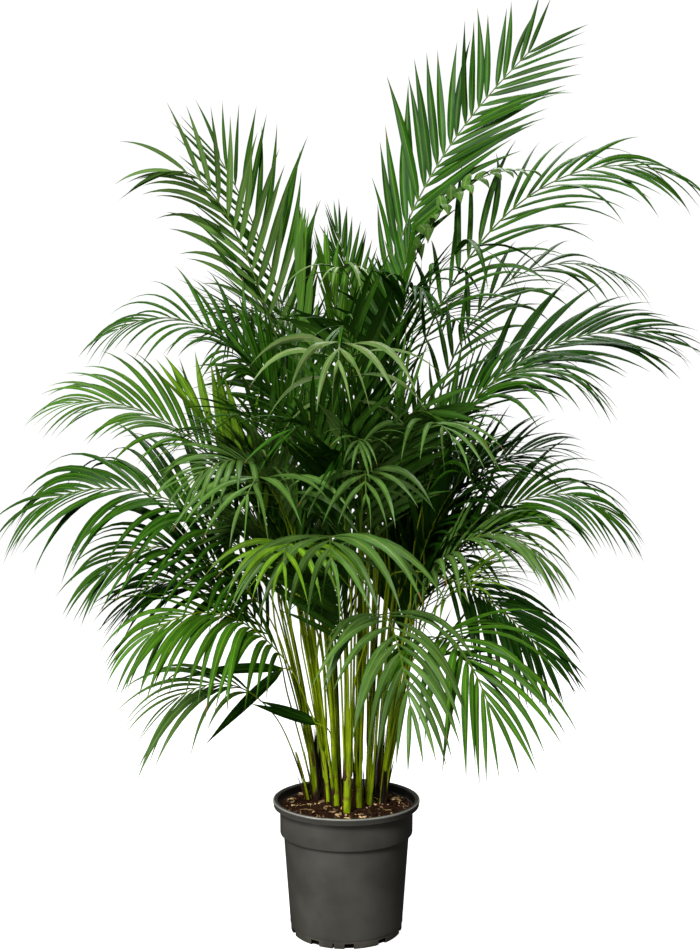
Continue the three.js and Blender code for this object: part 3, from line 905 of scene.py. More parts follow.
@dataclass(frozen=True)
class Frond:
    """A feather leaf: a petiole and rachis with two rows of leaflets. Sizes in mm and degrees.

    Attributes:
        name: The frond's own name.
        cane: The number of the cane that carries it.
        leaves_at: The height where the petiole leaves the cane.
        bend: The first point that pulls the rachis.
        arch: The second one.
        tip: The rachis's tip.
        bare: The share of the rachis without leaflets.
        pairs: How many pairs of leaflets there are.
        leaf: The longest leaflet's length.
        roll: How far the blade is turned about the rachis.
        vee: How far the two rows fold up.
        droop: How far leaflets sag.
        tone: The leaf colour.
        spread: The leaflets' angle to the rachis at its base and at its tip.
        wide: A leaflet's breadth over its length.
        face: How far the leaflets' upper sides turn towards the frond's tip.
    """

    name: str
    cane: int
    leaves_at: float
    bend: Vec
    arch: Vec
    tip: Vec
    bare: float
    pairs: int
    leaf: float
    roll: float
    vee: float
    droop: float
    tone: Tone
    spread: tuple[float, float] = (62, 45)
    wide: float = 0.061
    face: float = 0

    LEAF_SLOT, STALK_SLOT = 0, 1
    # The stalk's line: points beside the cane and along the rachis, how far it stands off, from
    # which length of rachis it does so fully, where that has faded out, and the smoothing.
    BESIDE_POINTS, OUTER_POINTS = 80, 240
    STANDS_OFF, FULL_FROM, FADED_BY = (4, 30), 0.4, 0.35
    SMOOTHINGS, SMOOTHED_POINTS = 60, 30.0
    # The stalk's section: ranges are drawn from, radii are in mm. The petiole's grows by 1 mm
    # for each metre of its length, and the sheath's is a share of the cane's.
    STALK_RINGS, STALK_SIDES = 60, 10
    STALK_FOOT, SHEATH = (8, 90), (40, 90)
    PETIOLE_RADIUS, TIP_RADIUS, CLASPED = 1.4, 1.0, 0.55
    SHEATH_THICKNESS, GROOVE = 2.0, 0.35
    BLUNT_LENGTH, DEAD_LENGTH = 12 * MM, 150 * MM
    # The leaflets: their steps, how far they turn to the light, their lengths at base and tip as
    # shares of the longest, where that is, and how much the angle closes at the very tip.
    STEPS = 10
    LEVELLING = 0.7
    BASE_SHARE, TIP_SHARE, LONGEST_AT = 0.68, 0.5, 0.3
    CLOSING = 0.55
    TWISTED_BY = 0.35
    THICKNESS = 0.55 * MM
    # A leaflet's section: places across it, and how the roof and the keel raise each of them.
    ACROSS = np.array([-1.0, -0.52, 0.0, 0.52, 1.0, 0.0])
    ROOF = np.array([-0.3, -0.12, 0.0, -0.12, -0.3, 0.0])
    KEEL = np.array([0.0, 0.1, 0.25, 0.1, 0.0, -1.0])
    LOWER = np.array([0, 0, 0, 0, 1.0, 1.0])

    def curve(self) -> Curve:
        """Returns the centre line of petiole and rachis in metres."""
        start = CANES[self.cane - 1].curve().at_height(self.leaves_at * MM)
        return Curve(np.vstack([start, np.array([self.bend, self.arch, self.tip]) * MM]))

    def blade(self, curve: Curve, tangent: np.ndarray, turn: Any) -> tuple[np.ndarray, np.ndarray]:
        """Works out the blade's directions: level across the frond, then turned about the rachis.

        Args:
            curve: The rachis.
            tangent: Its unit directions, of shape (places, 3).
            turn: The angle turned in radians, spreading to (places, 1).

        Returns:
            The direction to the blade's side and its upper normal.
        """
        level = np.cross(unit(curve.span * [1.0, 1.0, 0.0]), UP)
        side = square_to(np.broadcast_to(level, tangent.shape), tangent)
        normal = np.cross(side, tangent)
        cos, sin = np.cos(turn), np.sin(turn)
        return cos * side + sin * normal, cos * normal - sin * side

    def stalk_line(
        self, curve: Curve, low: float, rng: np.random.Generator
    ) -> tuple[np.ndarray, np.ndarray]:
        """Works out the line of the stalk: up beside the cane, then out along the rachis.

        The stalk stands off the cane's centre line by most of the cane's radius and a gap that
        grows from nothing at its foot; past the height where it leaves, the offset fades out
        over the first third of the rachis. The bend between the two parts is smoothed.

        Args:
            curve: The rachis.
            low: The height of the stalk's foot in metres.
            rng: The source of the side that the stalk stands on.

        Returns:
            Points every few millimetres and the share of the rachis at each, which is below
            zero beside the cane.
        """
        heights = np.linspace(low, self.leaves_at * MM, self.BESIDE_POINTS)
        beside, radius = CANES[self.cane - 1].level_cut(heights)
        away = compass(math.atan2(curve.span[1], curve.span[0]) + rng.normal(0, 0.7))
        rise = np.linspace(0, 1, self.BESIDE_POINTS)
        room = min(1.0, curve.length / self.FULL_FROM) ** 2
        offset = radius * 0.8 + rng.uniform(*self.STANDS_OFF) * MM * room * rise**0.8
        share = np.linspace(0.01, 1, self.OUTER_POINTS)
        past = (share / self.FADED_BY).clip(0, 1)
        fade = (1 - past) ** 2 * (1 + 2 * past)
        outer = curve.at(share) + away * (offset[-1] * fade)[:, None]
        points = np.concatenate([beside + away * offset[:, None], outer])
        soft = points.copy()
        for _ in range(self.SMOOTHINGS):
            soft[1:-1] = (soft[:-2] + 2 * soft[1:-1] + soft[2:]) / 4
        from_bend = (np.arange(len(points)) - self.BESIDE_POINTS) / self.SMOOTHED_POINTS
        near = np.exp(-(from_bend**2))[:, None]
        return points + (soft - points) * near, np.concatenate([rise - 1, share])

    def add_stalk(self, shell: Shell, curve: Curve, rng: np.random.Generator) -> None:
        """Adds the stalk: a sheath that clasps the cane, an oval petiole and a thin rachis.

        Its breadth falls from the cane's to the petiole's within the sheath's length and then
        evenly to the tip; the upper side is grooved. The foot may be dead and brown.

        Args:
            shell: The mesh that it goes into.
            curve: The rachis.
            rng: The source of small differences between stalks.
        """
        low = SOIL_CROWN + rng.uniform(*self.STALK_FOOT) * MM
        line, marks = self.stalk_line(curve, min(low, (self.leaves_at - 40) * MM), rng)
        reach = distances(line)
        at = np.linspace(0, 1, self.STALK_RINGS) ** 1.15 * reach[-1]
        points = read_off(at, reach, line)
        share = np.interp(at, reach, marks)
        tangent = unit(np.gradient(points, axis=0))
        turn = np.radians(self.roll) * np.clip(share / self.bare, 0, 1)[:, None] ** 1.5
        side, normal = self.blade(curve, tangent, turn)
        petiole = self.PETIOLE_RADIUS + curve.length
        thin = petiole + (self.TIP_RADIUS - petiole) * share.clip(0) ** 0.9
        clasp = (1 - (at / (rng.uniform(*self.SHEATH) * MM)).clip(0, 1)) ** 1.5
        start = np.clip(at / self.BLUNT_LENGTH, 0.15, 1) ** 0.7 * MM
        round_cane = CANES[self.cane - 1].foot_radius * self.CLASPED
        breadth = (thin + (round_cane - thin).clip(0) * clasp) * start
        thick = (thin * 0.9 * (1 - clasp) + self.SHEATH_THICKNESS * clasp) * start
        upper = np.clip(-np.sin(ring_angles(self.STALK_SIDES)), 0, 1)
        groove = 1 - self.GROOVE * upper**2
        grid = oval_tubes(
            points, side, -normal, breadth[:, None], thick[:, None] * groove, self.STALK_SIDES
        )
        dead = rng.uniform(0, 1) ** 2 * (1 - (at / self.DEAD_LENGTH).clip(0, 1))
        numbers = {"leaflet": rng.uniform(0, 1, 1), "low": dead[None, :, None]}
        place = tube_places(at / UV_LENGTH, self.STALK_SIDES)
        shell.add_tubes(grid[None], place, numbers, self.STALK_SLOT)

    def leaflets(self, curve: Curve, rng: np.random.Generator) -> dict[str, np.ndarray]:
        """Places the leaflets in pairs along the rachis, longest a third of the way up.

        Args:
            curve: The rachis.
            rng: The source of small differences between leaflets.

        Returns:
            Arrays with one row for each leaflet: its foot, heading, edge (the direction across
            it, towards the frond's tip on one side of the rachis and away from it on the
            other), length, droop, hook and twist.
        """
        k = np.repeat(np.linspace(0, 1, self.pairs) if self.pairs > 1 else np.zeros(1), 2)
        hand = np.tile([-1.0, 1.0], self.pairs)
        count = len(k)
        slip = rng.uniform(-0.15, 0.15, count) * (1 - self.bare) / max(self.pairs, 2)
        share = np.clip(self.bare + (1 - self.bare) * k**0.93 + slip * (k < 0.97), 0, 1)
        tangent = curve.tangent(share)
        side, normal = self.blade(curve, tangent, math.radians(self.roll))
        base, tip = self.spread
        spread = (base + (tip - base) * k) * (1 - self.CLOSING * k**7)
        angle = np.radians(spread + rng.normal(0, 2, count))[:, None]
        fold = np.radians(self.vee + rng.normal(0, 4, count))[:, None]
        outward = hand[:, None] * np.cos(fold) * side + np.sin(fold) * normal
        heading = unit(np.cos(angle) * tangent + np.sin(angle) * outward)
        lower = 1 - (1 - self.BASE_SHARE) * (1 - k / self.LONGEST_AT).clip(0) ** 2
        past = ((k - self.LONGEST_AT) / (1 - self.LONGEST_AT)).clip(0)
        length = self.leaf * lower * (1 - (1 - self.TIP_SHARE) * past**1.6) * MM
        level = np.hypot(*heading.T[:2])
        return {
            "foot": curve.at(share),
            "heading": heading,
            "edge": square_to(tangent, heading) * hand[:, None],
            "length": length * (1 + rng.normal(0, 0.05, count)),
            "droop": self.droop * level * (1 + rng.normal(0, 0.2, count)).clip(0.3),
            "hook": rng.normal(0.03, 0.06, count) * hand,
            "twist": rng.normal(0, 0.25, count) - hand * math.radians(self.face),
        }

    def add_leaflets(self, shell: Shell, curve: Curve, rng: np.random.Generator) -> None:
        """Adds the leaflets.

        Each one follows a line that starts along its heading and turns down by its droop and
        sideways by its hook, both growing with the distance from its foot. Where it lies level
        its upper side turns up to the light. Across, it is a low roof that is highest at the
        midrib, thin at both margins and keeled below.

        Args:
            shell: The mesh that they go into.
            curve: The rachis.
            rng: The source of small differences between leaflets.
        """
        at = self.leaflets(curve, rng)
        count = len(at["length"])
        step = (np.arange(self.STEPS) + 0.5) / self.STEPS
        pull = -UP * (at["droop"][:, None] * step**1.4)[..., None]
        bend = at["edge"][:, None] * (at["hook"][:, None] * step * 2)[..., None]
        course = unit(at["heading"][:, None] + pull + bend)
        stride = course * (at["length"] / self.STEPS)[:, None, None]
        line = np.concatenate([np.zeros((count, 1, 3)), np.cumsum(stride, axis=1)], axis=1)
        line = line + at["foot"][:, None]
        middle = (course[:, 1:] + course[:, :-1]) / 2
        along = unit(np.concatenate([course[:, :1], middle, course[:, -1:]], axis=1))
        across = np.empty_like(along)
        across[:, 0] = square_to(at["edge"], along[:, 0])
        for i in range(1, self.STEPS + 1):
            across[:, i] = square_to(across[:, i - 1], along[:, i])
        flat = np.cross(along, UP)
        hand = np.sign(np.sum(across * flat, axis=(1, 2)))[:, None, None]
        flatness = 1 - abs(math.sin(math.radians(self.roll)))
        level = self.LEVELLING * flatness * (1 - along[..., 2:] ** 2)
        across = unit(across * (1 - level) + unit(flat) * hand * level)
        upper = np.cross(along, across)
        s = np.linspace(0, 0.992, self.STEPS + 1)
        turn = (at["twist"][:, None] * (s / self.TWISTED_BY).clip(0, 1) ** 1.5)[..., None]
        cos, sin = np.cos(turn), np.sin(turn)
        across, upper = cos * across + sin * upper, cos * upper - sin * across
        shape = (0.2 + 0.8 * np.sin(np.pi * s**0.72) ** 0.75) * (1 - s**4)
        half = shape[None] * (at["length"] * self.wide * 0.5)[:, None]
        thick = np.minimum(self.THICKNESS, half * 0.5)

        sideways = half[..., None] * self.ACROSS
        height = half[..., None] * self.ROOF + thick[..., None] * self.KEEL
        grid = (
            line[:, :, None]
            + across[:, :, None] * sideways[..., None]
            + upper[:, :, None] * height[..., None]
        )
        place = np.stack(np.broadcast_arrays(self.ACROSS * 0.5 + 0.5, s[:, None]), axis=-1)
        place = np.broadcast_to(place, (*grid.shape[:3], 2))
        own = rng.uniform(0, 1, count)[:, None, None]
        shell.add_tubes(grid, place, {"leaflet": own}, self.LEAF_SLOT, self.LOWER)

    def build(
        self, materials: dict[Tone, bpy.types.Material], stalk: bpy.types.Material, seed: int
    ) -> Any:
        """Builds the frond as one piece.

        Args:
            materials: The leaf finishes by tone.
            stalk: The finish of petiole and rachis.
            seed: The seed of its small differences.

        Returns:
            The piece.
        """
        shell = Shell()
        curve = self.curve()
        rng = np.random.default_rng(seed)
        self.add_leaflets(shell, curve, rng)
        self.add_stalk(shell, curve, rng)
        return shell.to_piece(f"feather_{self.name}", [materials[self.tone], stalk], crease=50)


FRONDS = (
    Frond("tall_right", 12, 860, (48, 62, 1120), (140, 50, 1285), (305, 45, 1450),
          0.33, 22, 205, -76, 12, 0.25, Tone.DEEP, spread=(30, 44), wide=0.076),
    Frond("left_fan_front", 11, 820, (-118, 60, 935), (-185, 20, 1262), (-285, 0, 1240),
          0.34, 14, 198, -58, 36, 0.9, Tone.SHEEN, spread=(42, 34), wide=0.066),
    Frond("left_fan_back", 11, 750, (-70, 125, 950), (-150, 110, 1180), (-220, 110, 1290),
          0.36, 14, 208, 65, 36, 0.1, Tone.DEEP, spread=(42, 34), wide=0.066),
    Frond("long_right", 7, 680, (105, 20, 1050), (290, 10, 1305), (520, 0, 1240),
          0.36, 20, 205, -48, 4, 1.4, Tone.DEEP, spread=(36, 26), wide=0.06),
    Frond("curled_young", 12, 800, (80, 15, 1060), (140, -5, 1260), (300, -20, 1235),
          0.4, 15, 58, -30, 30, 3, Tone.SHEEN, spread=(70, 45), wide=0.36),
    Frond("spear", 11, 850, (-70, 60, 950), (-85, 40, 1040), (-85, 40, 1120),
          0.3, 9, 150, 60, 50, 0.05, Tone.MID, spread=(22, 12), wide=0.12),
    Frond("centre_up", 6, 680, (15, -60, 850), (-5, -60, 960), (-30, -70, 1060),
          0.3, 14, 150, 80, 30, 0.1, Tone.MID, spread=(30, 15), wide=0.1),
    Frond("centre_up_right", 7, 772, (60, -35, 900), (80, -30, 1000), (100, -30, 1110),
          0.3, 16, 110, -80, 30, 0.3, Tone.DEEP, spread=(45, 30), wide=0.16),
    Frond("right_two", 9, 525, (130, 45, 1030), (280, 70, 1150), (460, 70, 1085),
          0.42, 17, 160, -40, 0, 1.5, Tone.DEEP, spread=(34, 22)),
    Frond("right_three", 8, 560, (115, 0, 840), (290, -40, 995), (490, -40, 970),
          0.42, 21, 205, -48, 5, 0.9, Tone.DARK, spread=(32, 22), wide=0.06),
    Frond("right_four", 9, 460, (105, -80, 800), (215, -100, 960), (360, -95, 892),
          0.42, 18, 190, -35, 8, 1.8, Tone.DEEP, spread=(36, 24)),
    Frond("right_five", 9, 425, (150, 5, 620), (280, -60, 775), (410, -70, 685),
          0.36, 21, 195, -35, 10, 1.8, Tone.DEEP, spread=(38, 24)),
    Frond("right_six", 9, 385, (105, -95, 590), (190, -150, 710), (285, -165, 625),
          0.4, 18, 185, -25, 14, 1.7, Tone.SHEEN, spread=(50, 30)),
    Frond("right_seven", 7, 580, (118, -30, 600), (215, -110, 580), (300, -140, 470),
          0.4, 20, 170, -35, 8, 1.6, Tone.DARK, spread=(46, 26)),
    Frond("right_eight", 9, 335, (135, 15, 450), (160, -40, 480), (205, -60, 440),
          0.5, 6, 170, -30, 15, 0.25, Tone.DARK, spread=(40, 15)),
    Frond("front_top", 5, 560, (0, -90, 890), (-8, -220, 990), (-10, -300, 900),
          0.6, 7, 175, 0, 5, 2.2, Tone.PALE, spread=(80, 25), wide=0.075, face=60),
    Frond("front_middle", 6, 500, (22, -60, 715), (28, -190, 800), (28, -280, 716),
          0.6, 7, 140, 0, 5, 2, Tone.SHEEN, spread=(80, 25), wide=0.075, face=60),
    Frond("front_low", 4, 440, (-25, -80, 615), (-25, -210, 700), (-20, -330, 630),
          0.5, 8, 212, 0, 8, 2.2, Tone.SHEEN, spread=(78, 25), wide=0.07, face=50),
    Frond("front_bright", 3, 440, (-65, -70, 600), (-78, -220, 690), (-84, -340, 625),
          0.5, 7, 150, 0, 5, 2.1, Tone.FRESH, spread=(78, 25), wide=0.072, face=50),
    Frond("front_right", 6, 400, (45, -120, 560), (60, -260, 590), (85, -370, 440),
          0.42, 13, 188, 0, 15, 2.2, Tone.SHEEN, spread=(62, 26), wide=0.07, face=15),
    Frond("front_right_two", 9, 360, (110, -120, 500), (150, -220, 560), (195, -290, 430),
          0.4, 14, 220, -10, 15, 1.7, Tone.MID, spread=(56, 28), face=15),
    Frond("front_left", 3, 560, (-90, -70, 740), (-150, -160, 800), (-215, -220, 740),
          0.42, 14, 180, 20, 20, 1.4, Tone.SHEEN, spread=(55, 30)),
    Frond("left_one", 11, 650, (-110, 30, 930), (-240, 10, 1050), (-370, -10, 980),
          0.38, 19, 165, 38, 22, 1.7, Tone.DEEP, spread=(46, 28)),
    Frond("left_bright", 2, 545, (-125, -45, 700), (-190, -60, 800), (-250, -70, 860),
          0.36, 9, 165, 60, 30, 0.15, Tone.FRESH, spread=(34, 24), wide=0.11),
    Frond("left_two", 2, 485, (-125, 75, 700), (-270, 0, 880), (-435, -40, 858),
          0.36, 22, 185, 38, 24, 1.4, Tone.MID, spread=(44, 26)),
    Frond("left_three", 2, 450, (-125, -25, 630), (-300, -50, 775), (-475, -55, 700),
          0.34, 23, 230, 38, 20, 1.8, Tone.DEEP, spread=(50, 30)),
    Frond("left_four", 2, 400, (-120, -40, 560), (-270, -90, 700), (-375, -100, 590),
          0.36, 21, 190, 38, 22, 1.7, Tone.DEEP, spread=(48, 28)),
    Frond("left_five", 2, 360, (-120, -20, 520), (-240, -40, 620), (-335, -50, 550),
          0.36, 18, 180, 38, 20, 1.4, Tone.DARK, spread=(48, 28)),
    Frond("left_six", 3, 340, (-110, -60, 500), (-200, -130, 575), (-290, -160, 505),
          0.38, 20, 215, 30, 12, 1.9, Tone.MID, spread=(52, 28)),
    Frond("left_seven", 1, 276, (-115, -35, 380), (-180, -50, 440), (-262, -65, 392),
          0.55, 9, 215, 20, 5, 1.8, Tone.SHEEN, spread=(45, 25), wide=0.06),
    Frond("young_pair", 2, 332, (-90, 14, 372), (-80, 5, 438), (-110, 1, 421),
          0.96, 1, 255, 90, 5, 0.2, Tone.DEEP, spread=(24, 24), wide=0.115),
    Frond("young_leaf", 4, 322, (-30, -25, 332), (-40, -26, 337), (-50, -28, 341),
          0.8, 1, 160, 90, 0, 0.1, Tone.DARK, spread=(6, 6), wide=0.14),
    Frond("centre_back", 12, 860, (20, 70, 980), (5, 60, 1080), (-15, 55, 1150),
          0.3, 14, 120, 70, 20, 0.1, Tone.DEEP, spread=(35, 20), wide=0.085),
    Frond("arching_pair", 12, 840, (40, 20, 960), (15, -60, 1065), (-10, -110, 1062),
          0.9, 3, 150, 0, 5, 2.2, Tone.PALE, spread=(50, 20), wide=0.075),
    Frond("right_inner", 8, 500, (120, 20, 640), (200, 0, 770), (315, -10, 785),
          0.3, 18, 175, -35, 18, 1.1, Tone.DARK, spread=(46, 28)),
    Frond("front_left_low", 3, 500, (-90, -90, 680), (-115, -210, 790), (-135, -300, 715),
          0.55, 7, 190, 0, 8, 1.8, Tone.SHEEN, spread=(75, 25), face=45),
    Frond("right_low", 9, 420, (125, -60, 520), (150, -110, 560), (200, -140, 580),
          0.55, 7, 150, -30, 10, 0.8, Tone.FRESH, spread=(60, 15)),
    Frond("front_right_high", 7, 560, (70, -60, 780), (115, -150, 860), (150, -230, 800),
          0.5, 8, 165, 0, 8, 1.8, Tone.SHEEN, spread=(75, 28), wide=0.06, face=40),
    Frond("back_left_high", 11, 710, (-95, 165, 960), (-170, 280, 1100), (-240, 400, 1010),
          0.36, 22, 170, 0, 28, 0.8, Tone.MID),
    Frond("back_right_high", 12, 730, (65, 165, 980), (150, 290, 1120), (240, 420, 1030),
          0.36, 22, 170, 0, 28, 0.8, Tone.MID),
    Frond("back_left", 13, 515, (-120, 215, 735), (-150, 340, 860), (-200, 460, 760),
          0.36, 22, 170, 0, 28, 0.8, Tone.MID),
    Frond("back_right", 10, 520, (130, 190, 720), (200, 320, 850), (270, 440, 740),
          0.36, 22, 170, 0, 28, 0.8, Tone.MID),
    Frond("back_low_left", 13, 400, (-80, 160, 540), (-140, 270, 620), (-210, 370, 500),
          0.38, 20, 165, 0, 25, 0.8, Tone.MID),
    Frond("back_low_right", 10, 360, (110, 150, 520), (190, 260, 620), (280, 340, 500),
          0.38, 20, 165, 0, 25, 0.8, Tone.MID),
    Frond("back_middle", 13, 580, (-50, 240, 800), (-20, 360, 920), (10, 470, 830),
          0.36, 22, 170, 0, 28, 0.8, Tone.MID),
)

EXTRA_FRONDS = (
    Frond("hanging_right", 7, 700, (80, 10, 980), (150, -50, 1130), (215, -80, 1095),
          0.8, 3, 200, 0, 5, 2.4, Tone.DEEP, spread=(60, 20), wide=0.07),
    Frond("left_inner", 11, 700, (-95, 40, 850), (-140, 0, 930), (-190, 0, 950),
          0.3, 14, 170, 45, 25, 0.6, Tone.DEEP, spread=(40, 25), wide=0.08),
)

YOUNG_FRONDS = ("spear", "centre_up", "front_bright", "left_bright", "curled_young", "right_low")


@dataclass(frozen=True)
class InnerFronds:
    """The short fronds that fill the crown between the outer ones, placed by a seeded draw. In mm.

    Attributes:
        count: How many there are.
        leaves_at: Where they leave their cane, as shares of its top's height.
        reach: How far they reach out.
        rise: How far they rise.
        leaf: The longest leaflet's length.
    """

    count: int = 36
    leaves_at: tuple[float, float] = (0.68, 0.98)
    reach: tuple[float, float] = (60, 190)
    rise: tuple[float, float] = (180, 320)
    leaf: tuple[float, float] = (150, 200)

    GOLDEN_TURN = 2.39996
    # Canes lower than this carry none, and a frond chooses among so many on its side.
    TALL, CHOICE = 500, 3
    # The share of each tone: DARK paints in the crown's shade, SHEEN its highlights.
    TONES = {Tone.DARK: 0.38, Tone.DEEP: 0.3, Tone.MID: 0.14, Tone.SHEEN: 0.18}
    BARE, PAIRS, VEE, SPREAD, WIDE = 0.28, 17, 18, (46, 26), 0.066

    def draw(self) -> list[Frond]:
        """Draws the fronds: each next one is turned by the golden angle from the one before.

        A frond grows on one of the three canes whose feet lie furthest out on its side, rises
        steeply and arches over towards that side.

        Returns:
            The fronds.
        """
        rng = np.random.default_rng(INNER_SEED)
        tall = [cane for cane in CANES if cane.top[2] > self.TALL]
        tones = list(self.TONES)
        fronds = []
        for number in range(self.count):
            out = compass(number * self.GOLDEN_TURN + rng.normal(0, 0.15))
            near = sorted(tall, key=lambda cane: -float(np.dot(cane.foot, out[:2])))
            cane = near[int(rng.integers(0, self.CHOICE))]
            leaves_at = cane.top[2] * rng.uniform(*self.leaves_at)
            start = cane.curve().at_height(leaves_at * MM) / MM
            reach, rise = rng.uniform(*self.reach), rng.uniform(*self.rise)
            bend = start + out * 0.12 * reach + UP * 0.55 * rise
            arch = start + out * 0.5 * reach + UP * 1.05 * rise
            tip = start + out * reach + UP * 0.9 * rise
            tone = tones[int(rng.choice(len(tones), p=tuple(self.TONES.values())))]
            leaf, roll, droop = rng.uniform(*self.leaf), rng.normal(0, 45), rng.uniform(0.2, 1.0)
            fronds.append(
                Frond(
                    f"inner_{number + 1:02d}", cane.number, leaves_at, tuple(bend), tuple(arch),
                    tuple(tip), self.BARE, self.PAIRS, leaf, roll, self.VEE, droop, tone,
                    spread=self.SPREAD, wide=self.WIDE,
                )
            )
        return fronds


@dataclass(frozen=True)
class HusksAndShade:
    """Dry brown stubs of old sheaths round the canes' feet, dark enough to paint shade there. In
    mm.

    Attributes:
        each: How many a cane of age 1 has.
        height: How far they rise over the mix.
        breadth: Half their breadth.
        thickness: Half their thickness.
        sunk: How far their feet reach into the mix.
        gap: How far their feet stand off the cane's skin.
        lean: How far their tops may stand off beyond that.
        most: The greatest height, as a share of the cane's.
    """

    each: int = 13
    height: tuple[float, float] = (15, 150)
    breadth: tuple[float, float] = (2.0, 5.0)
    thickness: float = 1.1
    sunk: float = 8
    gap: float = 0.6
    lean: float = 12
    most: float = 0.6

    RINGS, SIDES = 16, 8

    def build(self, material: bpy.types.Material) -> Any:
        """Builds the stubs: flat strips that follow their cane and end in a torn point.

        Args:
            material: The dry skin, darkened to paint in shade.

        Returns:
            The piece.
        """
        rng = np.random.default_rng(HUSK_SEED)
        shell = Shell()
        share = np.linspace(0, 1, self.RINGS)
        fade = (1 - share**2.5).clip(0.06) * MM
        for cane in CANES:
            room = self.most * (cane.top[2] - SOIL_CROWN / MM)
            for _ in range(round(self.each * cane.age)):
                azimuth = rng.uniform(0, 2 * np.pi)
                away = compass(azimuth)
                tall = min(rng.uniform(*self.height) * (0.4 + 0.6 * min(cane.age, 1.0)), room)
                heights = SOIL_CROWN + (-self.sunk + (self.sunk + tall) * share) * MM
                line, radius = cane.level_cut(heights)
                offset = radius + (self.gap + rng.uniform(0, self.lean) * share**1.2) * MM
                centre = line + away * offset[:, None]
                tangent = unit(np.gradient(centre, axis=0))
                side = square_to(np.broadcast_to(np.cross(UP, away), tangent.shape), tangent)
                depth = np.cross(tangent, side)
                wander = 1 + 0.15 * np.sin(9 * share + azimuth)
                breadth = rng.uniform(*self.breadth) * fade * wander
                thick = (self.thickness * fade)[:, None]
                grid = oval_tubes(centre, side, depth, breadth[:, None], thick, self.SIDES)[None]
                low = np.array([rng.uniform(0.2, 0.9)])
                numbers = {"leaflet": rng.uniform(0, 1, 1), "low": low}
                shell.add_tubes(grid, tube_places(share, self.SIDES), numbers)
        return shell.to_piece("husks_and_shade", [material], crease=60)


# ---------------------------------------------------------------------------------------------
# Pot
# ---------------------------------------------------------------------------------------------


